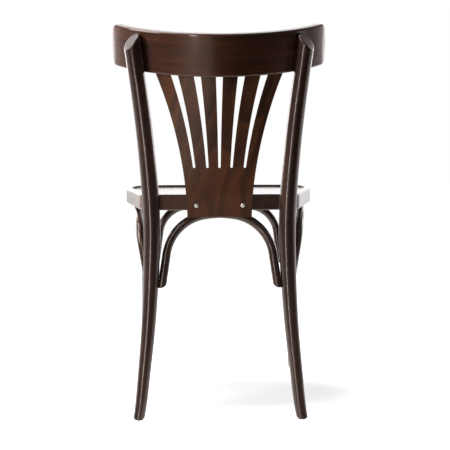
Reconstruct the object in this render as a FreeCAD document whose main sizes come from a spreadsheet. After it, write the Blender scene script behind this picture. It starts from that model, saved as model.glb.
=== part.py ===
import FreeCAD, Part
import math
import os
import Sketcher

# A bentwood bistro chair, in millimetres.
# The design frame has its origin on the floor under the middle of the seat.
# +Z is up, the sitter faces -Y and the sitter's left hand is at +X.
# Each finished piece is then moved along Y, so that the origin ends at the bottom centre of the chair.

V = FreeCAD.Vector
X_AXIS = V(1, 0, 0)
Y_AXIS = V(0, 1, 0)
Z_AXIS = V(0, 0, 1)

doc = FreeCAD.newDocument("bistro_chair")
sheet = doc.addObject("Spreadsheet::Sheet", "Sizes")

# Each driving size: its name, its value and what it measures.
DRIVING_SIZES = [
    ("seat_height", 460, "floor to the top of the seat rim"),
    ("seat_depth", 411, "front of the seat ring to its back"),
    ("seat_width", 433, "seat ring at its widest"),
    ("seat_rear_flat", 252, "straight run along the back of the ring"),
    ("seat_rear_corner", 45, "outer radius of the ring's rear corners"),
    ("seat_side_radius", 300, "radius of the ring's sides where they are widest"),
    ("seat_widest_forward", 92, "how far in front of the middle the ring is widest"),
    ("seat_front_corner", 65, "outer radius of the ring's front corners"),
    ("seat_front_radius", 1400, "bow of the ring's front edge"),
    ("ring_height", 33, "height of the seat ring"),
    ("ring_band", 38, "width of the seat ring, seen from above"),
    ("rim_width", 14, "rim that stands around the panel"),
    ("rim_round", 3, "rounding of the ring's outer edges"),
    ("panel_thickness", 8, "plywood of the seat panel"),
    ("panel_recess", 4.3, "rim above the panel"),
    ("panel_gap", 0.25, "clearance around the panel"),
    ("joint_gap", 0.2, "glue clearance where a rod is coped to what it meets"),

    ("leg_waist_drop", 60, "below the top of the seat rim, where the rear leg stands upright"),
    ("rear_leg_bearing", 13.86, "turn from straight back to the rear leg, round the ring's corner, in degrees"),
    ("leg_notch", 4.2, "how deep the rear leg is notched for the seat ring"),
    ("leg_waist_diameter", 35.4, "rear leg at its thickest"),
    ("rear_foot_out", 28.1, "how far the rear foot stands outside the leg's waist"),
    ("rear_foot_back", 45.1, "how far the rear foot stands behind the leg's waist"),
    ("foot_diameter", 23.2, "all four feet at the floor"),
    ("foot_chamfer", 1, "chamfer round each foot"),
    ("foot_sweep", 1.9, "how late the rear leg sweeps out"),
    ("foot_taper", 1.25, "how late the rear leg thins towards the foot"),
    ("post_blank_rise", 360, "top of the bent post above the seat rim, before it is cut"),
    ("post_spread", 172.2, "post's centre where it crosses the crest rail's middle"),
    ("post_notch", 4, "how deep the post is notched for the crest rail"),
    ("post_top_diameter", 34.2, "post at the top"),
    ("post_sweep", 1.45, "how late the post sweeps out"),
    ("post_lean_sweep", 2.4, "how late the post sweeps back"),
    ("post_cut_radius", 110, "bend of the cut across the post's top"),
    ("post_cut_angle", 38, "slope of that cut at its tip, in degrees"),
    ("post_cut_turn", 22, "how far that cut faces outwards of square to the rail, in degrees"),
    ("post_cut_drop", 8, "the cut's tip below the crest rail's top edge"),
    ("post_cut_round", 3.2, "rounded edge of that cut"),

    ("front_leg_bearing", 56.1, "turn from the side to the front leg, round the ring's corner, in degrees"),
    ("front_leg_diameter", 30.7, "front leg under the ring"),
    ("front_foot_out", 12.6, "how far the front foot stands outside the leg's top"),
    ("front_foot_forward", 19.6, "how far the front foot stands in front of the leg's top"),
    ("front_sweep", 3, "how late the front leg sweeps out"),
    ("tenon_diameter", 20, "round tenon on the front leg"),
    ("tenon_length", 19, "round tenon on the front leg"),

    ("arch_diameter", 18.5, "bent rod of the arches"),
    ("arch_seat_flat", 0.5, "depth of the flat on each crown"),
    ("arch_end_drop", 194, "lower ends of the arches, below the top of the seat rim"),
    ("arch_end_inset", 2.6, "how deep each arch end is coped round its leg"),
    ("arch_end_round", 14, "rounding of each lower end on its free side"),
    ("arch_end_ease", 2, "softened edge of the arches' lower ends"),
    ("arch_lean", 10, "how far the straight run above each end leans inwards"),
    ("rear_arch_straight", 72, "rear arch's straight runs"),
    ("front_arch_straight", 80, "front arch's straight runs"),
    ("side_arch_straight", 72, "side arches' straight runs"),
    ("rear_arch_turn", 10, "half of the rear crown's bend, in degrees"),
    ("front_arch_turn", 15.7, "half of the front crown's bend, in degrees"),
    ("side_arch_turn", 18, "half of the side crowns' bend, in degrees"),
    ("side_end_shift", 4, "side arches' ends, aside from their legs' centres"),
    ("rear_crown_inset", 15.5, "rear arch's crown from the ring's back"),
    ("front_crown_inset", 19, "front arch's crown from the ring's front"),
    ("side_crown_inset", 15.5, "side arch's crown from the ring's side"),

    ("back_overhang", 104.5, "rearmost point of the chair behind the seat ring"),
    ("rail_rise", 317.4, "top of the crest rail's back face above the seat rim, in the middle"),
    ("rail_width", 444, "crest rail from end to end"),
    ("rail_height", 84.9, "crest rail across its grain"),
    ("rail_thickness", 19, "crest rail"),
    ("rail_radius", 262, "bend of the crest rail's back face"),
    ("rail_tilt", 16, "lean of the back, in degrees"),
    ("rail_end_bulge", 4.5, "bulge of the crest rail's ends"),
    ("rail_end_round", 14, "rounded corners of the crest rail's ends"),
    ("rail_edge_round", 4, "rounded edges of the crest rail"),

    ("splat_thickness", 8, "plywood of the splat"),
    ("splat_gap", 0.1, "clearance behind the ring and under the screw heads"),
    ("splat_foot_below", 15.5, "splat's foot below the seat ring"),
    ("splat_foot_rise", 2.7, "hollow of the foot's lower edge"),
    ("splat_foot_flat", 37, "height of the flat foot"),
    ("splat_bend", 150, "bend between the flat foot and the leaning fan"),
    ("splat_foot_width", 133.6, "fan at its foot"),
    ("splat_top_rise", 25, "level above the crest rail's lower edge where the fan's top width is given"),
    ("splat_top_width", 269.8, "fan at that level"),
    ("splat_side_radius", 830, "bow of the fan's sides"),
    ("splat_tongue", 9, "slat ends inside the crest rail"),
    ("groove_gap", 0.25, "clearance round the slat ends"),
    ("slot_low_rise", 90, "lower end of the slots above the seat ring's lower edge"),
    ("slot_low_width", 4.6, "slots at their lower end"),
    ("slot_top_width", 15.6, "slots at the fan's top"),
    ("slot_flare", 0.2, "how much more one edge of a slot is bowed"),
    ("inner_slot", 0.295, "near edge of the inner slots, as a share of the fan's half width"),
    ("outer_slot", 0.655, "near edge of the outer slots, as a share of the fan's half width"),

    ("screw_gap", 0.12, "clearance of fasteners in their holes"),
    ("splat_screw_spacing", 96.2, "between the two screws at the splat's foot"),
    ("splat_screw_rise", 10, "those screws above the ring's lower edge"),
    ("splat_screw_head", 8.6, "their raised heads"),
    ("splat_screw_dome", 2.2, "height of those heads"),
    ("splat_screw_diameter", 4, "their shanks"),
    ("splat_screw_length", 28, "their shanks"),
    ("wood_screw_head", 8, "countersunk heads of the arch screws"),
    ("wood_screw_diameter", 4, "their shanks"),
    ("wood_screw_sink", 1, "their heads below the wood"),
    ("crown_screw_length", 32, "screws through the crowns"),
    ("end_screw_length", 30, "screws through the arch ends"),
    ("end_screw_rise", 24, "those of the rear and front arches, above the arch ends"),
    ("side_screw_rise", 16, "those of the side arches, above the arch ends"),
    ("slot_depth", 1.1, "slot in the screw heads"),
    ("screw_slot", 1.2, "slot in the screw heads"),
    ("bolt_diameter", 6, "bolts between the ring and the rear legs"),
    ("bolt_length", 49, "bolts under their heads"),
    ("bolt_rise", 11, "bolts above the ring's lower edge"),
    ("bolt_head_width", 10, "across the flats"),
    ("bolt_head_height", 4, "bolt heads"),
    ("washer_diameter", 16, "washers under the bolt heads"),
    ("washer_thickness", 1.5, "washers under the bolt heads"),
    ("spotface_depth", 2, "flat for each washer, cut into the ring"),
    ("nut_inset", 0.5, "threaded inserts below the leg's surface"),
    ("nut_diameter", 11, "threaded inserts in the legs"),
    ("nut_length", 14, "threaded inserts in the legs"),
    ("dowel_diameter", 8, "dowels in the crest rail"),
    ("dowel_in_rail", 11, "depth of the dowels in the rail"),
    ("dowel_in_post", 12, "depth of the dowels in the posts"),
    ("dowel_low", 20, "lower dowels above the crest rail's lower edge"),
    ("dowel_high", 52, "upper dowels above the crest rail's lower edge"),
    ("glide_diameter", 17, "foot glides"),
    ("glide_height", 3, "foot glides"),
    ("glide_nail_diameter", 3, "nail of each glide"),
    ("glide_nail_length", 14, "nail of each glide"),
]

def write_size(row, alias, value, meaning):
    sheet.set(f"A{row}", meaning)
    sheet.set(f"B{row}", str(value))
    sheet.setAlias(f"B{row}", alias)


for number, (name, value, meaning) in enumerate(DRIVING_SIZES, start=1):
    write_size(number, name, value, meaning)
doc.recompute()
derived_rows = []


def size(expression):
    """The number that an expression on the sheet's sizes gives now."""
    return float(sheet.evalExpression(expression))


def derive(alias, value, meaning):
    """Adds a size that follows from the driving ones."""
    derived_rows.append(alias)
    write_size(len(DRIVING_SIZES) + len(derived_rows), alias, value, meaning)
    doc.recompute()


def unit(vector):
    return vector * (1.0 / vector.Length)


def placed(obj, base, rotation=None):
    obj.Placement = FreeCAD.Placement(base, rotation or FreeCAD.Rotation())
    return obj


def turned_to(x_direction, z_direction):
    """The rotation that carries X and Z to two directions at right angles."""
    return FreeCAD.Rotation(unit(x_direction), unit(z_direction.cross(x_direction)), unit(z_direction), "XZY")


# Sketches and features

def new_body(name):
    return doc.addObject("PartDesign::Body", name)


def new_sketch(body, name, role="XY_Plane", offset=None, offset_z=None):
    plane = next(item for item in body.Origin.OriginFeatures if item.Role == role)
    sketch = body.newObject("Sketcher::SketchObject", name)
    sketch.AttachmentSupport = [(plane, "")]
    sketch.MapMode = "FlatFace"
    if offset:
        sketch.AttachmentOffset = offset
    if offset_z:
        sketch.setExpression("AttachmentOffset.Base.z", offset_z)
    return sketch


def dimension(sketch, kind, refs, expression):
    """A constraint whose value is bound to the sheet."""
    index = sketch.addConstraint(Sketcher.Constraint(kind, *refs, size(expression)))
    sketch.setExpression(f"Constraints[{index}]", expression)


def pin_point(sketch, geometry, end, x_expression, y_expression):
    dimension(sketch, "DistanceX", (-1, 1, geometry, end), x_expression)
    dimension(sketch, "DistanceY", (-1, 1, geometry, end), y_expression)


def circle_in(sketch, x_expression, y_expression, diameter):
    centre = V(size(x_expression), size(y_expression), 0)
    circle = sketch.addGeometry(Part.Circle(centre, Z_AXIS, size(diameter) / 2))
    pin_point(sketch, circle, 3, x_expression, y_expression)
    dimension(sketch, "Diameter", (circle,), diameter)
    return circle


def polygon_in(sketch, points):
    """A closed outline of straight lines through points given as pairs of expressions."""
    corners = [V(size(x), size(y), 0) for x, y in points]
    lines = []
    for index, corner in enumerate(corners):
        following = corners[(index + 1) % len(corners)]
        lines.append(sketch.addGeometry(Part.LineSegment(corner, following)))
    for index, line in enumerate(lines):
        sketch.addConstraint(Sketcher.Constraint("Coincident", line, 2, lines[(index + 1) % len(lines)], 1))
        pin_point(sketch, line, 1, *points[index])
    return lines


def bowed_edge(start, end, radius, side):
    """The arc from start to end whose bulge lies to the given side, +1 being the left."""
    chord = end - start
    middle = (start + end) * 0.5
    left = unit(V(-chord.y, chord.x, 0))
    sagitta = radius - math.sqrt(radius ** 2 - (chord.Length / 2) ** 2)
    return Part.Arc(start, middle + left * (side * sagitta), end)


def pad(body, sketch, length):
    feature = body.newObject("PartDesign::Pad", sketch.Name + "_pad")
    feature.Profile = sketch
    feature.setExpression("Length", length)
    return feature


def pocket(body, sketch, length, reverse=False, symmetric=False):
    """Cuts downwards from the sketch, or upwards with reverse."""
    feature = body.newObject("PartDesign::Pocket", sketch.Name + "_pocket")
    feature.Profile = sketch
    feature.Reversed = reverse
    if symmetric:
        feature.SideType = "Symmetric"
    feature.setExpression("Length", length)
    return feature


def loft(body, sketches):
    feature = body.newObject("PartDesign::AdditiveLoft", body.Name + "_loft")
    feature.Profile = sketches[0]
    feature.Sections = sketches[1:]
    return feature


def edges_where(shape, test):
    return [f"Edge{number}" for number, edge in enumerate(shape.Edges, start=1) if test(edge)]


def dress(body, kind, base, test, expression):
    """A fillet or chamfer of every edge of the base that passes the test."""
    doc.recompute()
    feature = body.newObject(f"PartDesign::{kind}", f"{body.Name}_{kind.lower()}_{len(body.Group)}")
    feature.Base = (base, edges_where(base.Shape, test))
    feature.setExpression("Radius" if kind == "Fillet" else "Size", expression)
    return feature


def cylinder(name, start, direction, diameter, length, backward="0"):
    """A cylinder whose axis starts at a point, or by an expression's length before it."""
    rod = doc.addObject("Part::Cylinder", name)
    rod.setExpression("Radius", f"({diameter}) / 2")
    rod.setExpression("Height", f"({length}) + ({backward})")
    direction = unit(direction)
    rotation = FreeCAD.Rotation(Z_AXIS, direction)
    return placed(rod, start - direction * size(backward), rotation)


def countersink(name, start, direction):
    """The flared mouth of a wood screw's hole, with the hollow above it."""
    cone = doc.addObject("Part::Cone", name)
    cone.setExpression("Radius1", "Sizes.wood_screw_head / 2 + Sizes.screw_gap")
    cone.setExpression("Radius2", "Sizes.wood_screw_diameter / 2 + Sizes.screw_gap")
    cone.setExpression("Height", "(Sizes.wood_screw_head - Sizes.wood_screw_diameter) / 2")
    mouth = cylinder(name + "_mouth", start, direction, "Sizes.wood_screw_head + 2 * Sizes.screw_gap",
                     "0", "Sizes.arch_diameter / 2")
    return [placed(cone, start, FreeCAD.Rotation(Z_AXIS, unit(direction))), mouth]


def mirrored(name, source):
    twin = doc.addObject("Part::Mirroring", name)
    twin.Source = source
    twin.Normal = X_AXIS
    return twin


def cut(name, base, tools):
    """The base with every tool cut from it."""
    group = doc.addObject("Part::Compound", name + "_tools")
    group.Links = tools
    result = doc.addObject("Part::Cut", name)
    result.Base = base
    result.Tool = group
    return result


# The finished pieces, each with its label, and moved so that the origin is the chair's bottom centre

FRAME_SHIFT = "-Sizes.back_overhang / 2"
pieces = []


def finish(obj, label):
    obj.Label = label
    obj.setExpression("Placement.Base.y", FRAME_SHIFT)
    pieces.append(obj)


def finish_pair(obj, stem):
    """The left piece and its mirror image."""
    twin = mirrored(obj.Name + "_twin", obj)
    obj.Label = stem + "_left"
    twin.Label = stem + "_right"
    obj.setExpression("Placement.Base.y", FRAME_SHIFT)
    pieces.extend([obj, twin])


# Heights that the seat's height carries with it

RING_BOTTOM = "(Sizes.seat_height - Sizes.ring_height)"
LEG_WAIST_Z = "(Sizes.seat_height - Sizes.leg_waist_drop)"
POST_BLANK_Z = "(Sizes.seat_height + Sizes.post_blank_rise)"
RAIL_TOP_Z = "(Sizes.seat_height + Sizes.rail_rise)"
ARCH_END_Z = "(Sizes.seat_height - Sizes.arch_end_drop)"
ring_bottom = size(RING_BOTTOM)


# The seat ring's outline

def meeting_of_circles(first, first_radius, second, second_radius, side):
    """Where two circles meet, to the left of the way from the first centre to the second with side +1."""
    between = second - first
    along = (first_radius ** 2 - second_radius ** 2 + between.Length ** 2) / (2 * between.Length)
    across = math.sqrt(first_radius ** 2 - along ** 2)
    forward = unit(between)
    return first + forward * along + V(-forward.y, forward.x, 0) * (side * across)


SIDE_X = "Sizes.seat_width / 2 - Sizes.seat_side_radius"
REAR_CORNER_Y = "Sizes.seat_depth / 2 - Sizes.seat_rear_corner"
FRONT_BOW_Y = "Sizes.seat_front_radius - Sizes.seat_depth / 2"
rear_corner = V(size("Sizes.seat_rear_flat / 2"), size(REAR_CORNER_Y), 0)
side_centre = V(size(SIDE_X), size("-Sizes.seat_widest_forward"), 0)
front_centre = V(0, size(FRONT_BOW_Y), 0)
front_corner = meeting_of_circles(
    side_centre, size("Sizes.seat_side_radius - Sizes.seat_front_corner"),
    front_centre, size("Sizes.seat_front_radius - Sizes.seat_front_corner"), -1)

# The straight side touches the rear corner's arc and the side's arc, so both give it one outward direction.
corner_to_side = rear_corner - side_centre
side_lean = math.atan2(corner_to_side.y, corner_to_side.x) - math.acos(
    size("Sizes.seat_side_radius - Sizes.seat_rear_corner") / corner_to_side.Length)
side_outward = V(math.cos(side_lean), math.sin(side_lean), 0)


def ring_edge_x(y):
    """The ring's straight side, at a distance behind the seat's middle."""
    start = rear_corner + side_outward * size("Sizes.seat_rear_corner")
    return start.x - (y - start.y) * side_outward.y / side_outward.x


def flip(point):
    return V(-point.x, point.y, point.z)


def ring_outline(sketch, inset):
    """The rounded trapezium of the seat, drawn a given inset inside the ring's outer face."""
    rear_r = size(f"Sizes.seat_rear_corner - ({inset})")
    side_r = size(f"Sizes.seat_side_radius - ({inset})")
    corner_r = size(f"Sizes.seat_front_corner - ({inset})")
    front_r = size(f"Sizes.seat_front_radius - ({inset})")
    to_corner = unit(front_corner - side_centre)
    to_front = unit(front_corner - front_centre)
    rear_end = rear_corner + Y_AXIS * rear_r
    side_start = rear_corner + side_outward * rear_r
    side_end = side_centre + side_outward * side_r
    corner_start = side_centre + to_corner * side_r
    corner_end = front_centre + to_front * front_r
    rear_mid = rear_corner + unit(side_outward + Y_AXIS) * rear_r
    side_mid = side_centre + unit(to_corner + side_outward) * side_r
    corner_mid = front_corner + unit(to_corner + to_front) * corner_r
    outline = [
        Part.Arc(rear_end, rear_mid, side_start),
        Part.LineSegment(side_start, side_end),
        Part.Arc(side_end, side_mid, corner_start),
        Part.Arc(corner_start, corner_mid, corner_end),
        Part.Arc(corner_end, front_centre - Y_AXIS * front_r, flip(corner_end)),
        Part.Arc(flip(corner_end), flip(corner_mid), flip(corner_start)),
        Part.Arc(flip(corner_start), flip(side_mid), flip(side_end)),
        Part.LineSegment(flip(side_end), flip(side_start)),
        Part.Arc(flip(side_start), flip(rear_mid), flip(rear_end)),
        Part.LineSegment(flip(rear_end), rear_end),
    ]
    ids = [sketch.addGeometry(item) for item in outline]
    for first, second in zip(ids, ids[1:] + ids[:1]):
        join_tangent(sketch, first, second)
    for index, radius in ((0, "rear_corner"), (2, "side_radius"), (3, "front_corner"), (4, "front_radius")):
        dimension(sketch, "Radius", (ids[index],), f"Sizes.seat_{radius} - ({inset})")
    for index, twin in ((0, 8), (2, 6), (3, 5)):
        sketch.addConstraint(Sketcher.Constraint("Equal", ids[index], ids[twin]))
    pin_point(sketch, ids[0], 3, "Sizes.seat_rear_flat / 2", REAR_CORNER_Y)
    pin_point(sketch, ids[8], 3, "-Sizes.seat_rear_flat / 2", REAR_CORNER_Y)
    pin_point(sketch, ids[2], 3, SIDE_X, "-Sizes.seat_widest_forward")
    pin_point(sketch, ids[6], 3, f"-({SIDE_X})", "-Sizes.seat_widest_forward")
    pin_point(sketch, ids[4], 3, "0", FRONT_BOW_Y)


def join_tangent(sketch, first, second):
    """A smooth joint where one element's end meets the next one's."""
    pairs = [(first_end, second_end) for first_end in (1, 2) for second_end in (1, 2)]
    meeting = min(pairs, key=lambda ends: (sketch.getPoint(first, ends[0])
                                           - sketch.getPoint(second, ends[1])).Length)
    sketch.addConstraint(Sketcher.Constraint("Tangent", first, meeting[0], second, meeting[1]))


# The legs' rods, as round sections along a swept curve

SWEEP_STEPS = 5


def along_rod(start, end, share, key):
    """The expression of a rod's height, place or diameter, at a share of the way between two ends."""
    power = end.get("sweep_" + key, "1")
    return f"({start[key]}) + (({end[key]}) - ({start[key]})) * {share} ^ ({power})"


def swept_rod(name, straight, ends, extra):
    """A loft of circles through a rod's straight stretch and its swept ends, made wider by an extra."""
    body = new_body(name)
    steps = [step / SWEEP_STEPS for step in range(1, SWEEP_STEPS + 1)]
    stations = [(ends[0], share) for share in reversed(steps)] + [(ends[0], 0)]
    if len(ends) > 1:
        stations += [(ends[1], share) for share in steps]
    sketches = []
    for number, (end, share) in enumerate(stations):
        sketch = new_sketch(body, f"{name}_section_{number}", offset_z=along_rod(straight, end, share, "z"))
        x, y, diameter = (along_rod(straight, end, share, key) for key in "xyd")
        circle_in(sketch, x, y, f"{diameter} + 2 * {extra}")
        sketches.append(sketch)
    doc.recompute()
    loft(body, sketches)
    return body


def rod_centre(straight, end, z):
    """A rod's centre at a height."""
    share = (z - size(straight["z"])) / size(f"({end['z']}) - ({straight['z']})")
    x, y = (size(along_rod(straight, end, f"{share:.6f}", key)) for key in "xy")
    return V(x, y, z)


def rod_radius(straight, end, z):
    share = (z - size(straight["z"])) / size(f"({end['z']}) - ({straight['z']})")
    return size(along_rod(straight, end, f"{share:.6f}", "d")) / 2


def sizes_of(*expressions):
    return [size(expression) for expression in expressions]


# The crest rail's place: its bend's axis leans back with the rail.

def rail_frame():
    tilt = math.radians(size("Sizes.rail_tilt"))
    radius = size("Sizes.rail_radius")
    height = size("Sizes.rail_height")
    rounding = size("Sizes.rail_edge_round")
    reach = (radius - rounding) * math.cos(tilt) + (height - rounding) * math.sin(tilt) + rounding
    base_y = size("Sizes.seat_depth / 2 + Sizes.back_overhang") - reach
    base_z = size(RAIL_TOP_Z) + radius * math.sin(tilt) - height * math.cos(tilt)
    return FreeCAD.Placement(V(0, base_y, base_z), FreeCAD.Rotation(X_AXIS, -size("Sizes.rail_tilt")))


rail_place = rail_frame()


def rail_point(angle, radius, height):
    """A point of the crest rail: its angle round the bend, its radius and its height along the lean."""
    return rail_place.multVec(V(radius * math.sin(angle), radius * math.cos(angle), height))


def rail_outward(angle):
    return rail_place.Rotation.multVec(V(math.sin(angle), math.cos(angle), 0))


# The rear leg stands against the ring's rear corner, and its post against the crest rail.

rear_bearing = math.radians(size("Sizes.rear_leg_bearing"))
waist = rear_corner + V(math.sin(rear_bearing), math.cos(rear_bearing), 0) * size(
    "Sizes.seat_rear_corner + Sizes.leg_waist_diameter / 2 - Sizes.leg_notch")
derive("leg_waist_x", round(waist.x, 4), "rear leg's centre at its waist, from the middle")
derive("leg_waist_y", round(waist.y, 4), "rear leg's centre at its waist, behind the seat's middle")


def post_crossing():
    """The post's centre where it crosses the middle of the crest rail's height."""
    reach = size("Sizes.rail_radius + Sizes.post_top_diameter / 2 - Sizes.post_notch")
    angle = math.asin(size("Sizes.post_spread") / reach)
    return rail_point(angle, reach, size("Sizes.rail_height / 2"))


crossing = post_crossing()
crossing_share = (crossing.z - size(LEG_WAIST_Z)) / size(f"{POST_BLANK_Z} - {LEG_WAIST_Z}")
derive("post_top_x", round(waist.x + (crossing.x - waist.x) / crossing_share ** size("Sizes.post_sweep"), 4),
       "post's centre at the top of its blank, from the middle")
derive("post_top_y", round(waist.y + (crossing.y - waist.y) / crossing_share ** size("Sizes.post_lean_sweep"), 4),
       "post's centre at the top of its blank, behind the seat's middle")

# The front leg's tenon stands in the middle of the band, at the ring's front corner.

front_bearing = math.radians(size("Sizes.front_leg_bearing"))
front_leg = front_corner + V(math.cos(front_bearing), -math.sin(front_bearing), 0) * size(
    "Sizes.seat_front_corner - Sizes.ring_band / 2")
derive("front_leg_x", round(front_leg.x, 4), "front leg's centre from the middle")
derive("front_leg_y", round(-front_leg.y, 4), "front leg's centre in front of the middle")


REAR_WAIST = {"z": LEG_WAIST_Z, "x": "Sizes.leg_waist_x", "y": "Sizes.leg_waist_y",
              "d": "Sizes.leg_waist_diameter"}
REAR_FOOT = {"z": "Sizes.glide_height", "x": "(Sizes.leg_waist_x + Sizes.rear_foot_out)",
             "y": "(Sizes.leg_waist_y + Sizes.rear_foot_back)", "d": "Sizes.foot_diameter",
             "sweep_x": "Sizes.foot_sweep", "sweep_y": "Sizes.foot_sweep", "sweep_d": "Sizes.foot_taper"}
POST_TOP = {"z": POST_BLANK_Z, "x": "Sizes.post_top_x", "y": "Sizes.post_top_y",
            "d": "Sizes.post_top_diameter", "sweep_x": "Sizes.post_sweep", "sweep_y": "Sizes.post_lean_sweep"}
FRONT_TOP = {"z": RING_BOTTOM, "x": "Sizes.front_leg_x", "y": "-Sizes.front_leg_y",
             "d": "Sizes.front_leg_diameter"}
FRONT_FOOT = {"z": "Sizes.glide_height", "x": "(Sizes.front_leg_x + Sizes.front_foot_out)",
              "y": "-(Sizes.front_leg_y + Sizes.front_foot_forward)", "d": "Sizes.foot_diameter",
              "sweep_x": "Sizes.front_sweep", "sweep_y": "Sizes.front_sweep"}


def rear_leg_end(z):
    """The end of the rear leg that lies on the same side of its waist as a height."""
    return POST_TOP if z > size(LEG_WAIST_Z) else REAR_FOOT


def rear_leg_at(z):
    return rod_centre(REAR_WAIST, rear_leg_end(z), z)


def front_leg_at(z):
    return rod_centre(FRONT_TOP, FRONT_FOOT, z)


def post_angle(height):
    """How far round the rail's bend the post's centre lies, at a height along the rail's lean."""
    z = crossing.z
    for _ in range(8):
        local = rail_place.inverse().multVec(rear_leg_at(z))
        z += height - local.z
    return math.atan2(local.x, local.y)


# Seat ring and panel

def outline_edges(sketch, z):
    """A test for the edges that lie at a height on a sketched outline."""
    wire = sketch.Shape.copy()
    wire.translate(V(0, 0, z - wire.BoundBox.ZMin))

    def test(edge):
        middle = edge.valueAt((edge.FirstParameter + edge.LastParameter) / 2)
        return edge.BoundBox.ZLength < 0.01 and wire.distToShape(Part.Vertex(middle))[0] < 0.01

    return test


def build_ring():
    body = new_body("ring_blank")
    outer = new_sketch(body, "ring_outer", offset_z=RING_BOTTOM)
    ring_outline(outer, "0")
    pad(body, outer, "Sizes.ring_height")
    opening = new_sketch(body, "ring_opening", offset_z=RING_BOTTOM)
    ring_outline(opening, "Sizes.ring_band")
    pocket(body, opening, "Sizes.ring_height", reverse=True)
    rebate = new_sketch(body, "ring_rebate", offset_z="Sizes.seat_height")
    ring_outline(rebate, "Sizes.rim_width")
    rebated = pocket(body, rebate, "Sizes.panel_recess + Sizes.panel_thickness")
    doc.recompute()
    rims = [outline_edges(outer, size("Sizes.seat_height")), outline_edges(outer, ring_bottom)]
    dress(body, "Fillet", rebated, lambda edge: any(test(edge) for test in rims), "Sizes.rim_round")
    return body


def build_panel():
    body = new_body("panel")
    outline = new_sketch(body, "panel_outline",
                         offset_z="Sizes.seat_height - Sizes.panel_recess - Sizes.panel_thickness")
    ring_outline(outline, "Sizes.rim_width + Sizes.panel_gap")
    pad(body, outline, "Sizes.panel_thickness")
    return body


def build_ring_clearance():
    """The space that the ring takes in the rear legs."""
    body = new_body("ring_clearance")
    outline = new_sketch(body, "ring_clearance_outline", offset_z=f"{RING_BOTTOM} - Sizes.joint_gap")
    ring_outline(outline, "-Sizes.joint_gap")
    pad(body, outline, "Sizes.ring_height + 2 * Sizes.joint_gap")
    return body


# Crest rail

def rail_band(sketch, outer_radius, inner_radius, half_width):
    """A band round the rail's bend, with radial ends; the half width is that of its outer arc."""
    outer_r, inner_r, half = sizes_of(outer_radius, inner_radius, half_width)
    angle = math.asin(half / outer_r)

    def at(radius, turn):
        return V(radius * math.sin(turn), radius * math.cos(turn), 0)

    back = sketch.addGeometry(Part.Arc(at(outer_r, angle), at(outer_r, 0), at(outer_r, -angle)))
    front = sketch.addGeometry(Part.Arc(at(inner_r, angle), at(inner_r, 0), at(inner_r, -angle)))
    ends = [sketch.addGeometry(Part.LineSegment(at(inner_r, turn), at(outer_r, turn)))
            for turn in (angle, -angle)]
    for arc, radius in ((back, outer_radius), (front, inner_radius)):
        sketch.addConstraint(Sketcher.Constraint("Coincident", arc, 3, -1, 1))
        dimension(sketch, "Radius", (arc,), radius)
    for end, side in zip(ends, (1, -1)):
        for arc, line_end in ((front, 1), (back, 2)):
            points = [(arc, 1), (arc, 2)]
            arc_end = min(points, key=lambda point: (sketch.getPoint(*point)
                                                     - sketch.getPoint(end, line_end)).Length)
            sketch.addConstraint(Sketcher.Constraint("Coincident", *arc_end, end, line_end))
        sketch.addConstraint(Sketcher.Constraint("PointOnObject", -1, 1, end))
        dimension(sketch, "DistanceX", (-1, 1, end, 2), f"{side} * ({half_width})")


def pinned_line(sketch, start, end):
    line = sketch.addGeometry(Part.LineSegment(V(*sizes_of(*start), 0), V(*sizes_of(*end), 0)))
    pin_point(sketch, line, 1, *start)
    pin_point(sketch, line, 2, *end)
    return line


def pinned_path(sketch, points):
    for start, end in zip(points, points[1:]):
        pinned_line(sketch, start, end)


def derive_rail_end():
    """The bulge's bend, and where the corners' arcs leave the rail's edges and meet the bulge."""
    height, bulge, corner = sizes_of("Sizes.rail_height", "Sizes.rail_end_bulge", "Sizes.rail_end_round")
    bend = (height ** 2 / 4 + bulge ** 2) / (2 * bulge)
    corner_x = math.sqrt((bend - corner) ** 2 - (height / 2 - corner) ** 2) - bend
    reach = bend / (bend - corner)
    derive("rail_end_bend", round(bend, 4), "bend of the crest rail's bulging ends")
    derive("rail_corner_start", round(-corner_x, 4), "start of the rounded corners, before the rail's end")
    derive("rail_corner_end", round(bend - (corner_x + bend) * reach, 4), "their other end, before the rail's end")
    derive("rail_corner_rise", round(height / 2 - (height / 2 - corner) * reach, 4), "that end above the rail's edge")


def rail_end_waste(body, name, side):
    """What lies beyond a bulging end with rounded corners, seen square to the rail's face there."""
    radius = size("Sizes.rail_radius - Sizes.rail_thickness / 2")
    angle = side * math.asin(size("Sizes.rail_width / 2") / size("Sizes.rail_radius"))
    outward = V(side * math.cos(angle), -side * math.sin(angle), 0)
    place = FreeCAD.Placement(V(radius * math.sin(angle), radius * math.cos(angle), 0),
                              turned_to(outward, outward.cross(Z_AXIS)))
    sketch = new_sketch(body, name, offset=place)
    top = "Sizes.rail_height"
    margin = "Sizes.rail_thickness"
    low_start = ("-Sizes.rail_corner_start", "0")
    low_end = ("-Sizes.rail_corner_end", "Sizes.rail_corner_rise")
    high_end = ("-Sizes.rail_corner_end", f"{top} - Sizes.rail_corner_rise")
    high_start = ("-Sizes.rail_corner_start", top)
    bowed_line(sketch, low_start, low_end, "Sizes.rail_end_round", -1)
    bowed_line(sketch, low_end, high_end, "Sizes.rail_end_bend", -1)
    bowed_line(sketch, high_end, high_start, "Sizes.rail_end_round", -1)
    pinned_path(sketch, [high_start, (high_start[0], f"{top} + {margin}"), (margin, f"{top} + {margin}"),
                         (margin, f"-{margin}"), (low_start[0], f"-{margin}"), low_start])
    return sketch


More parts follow.
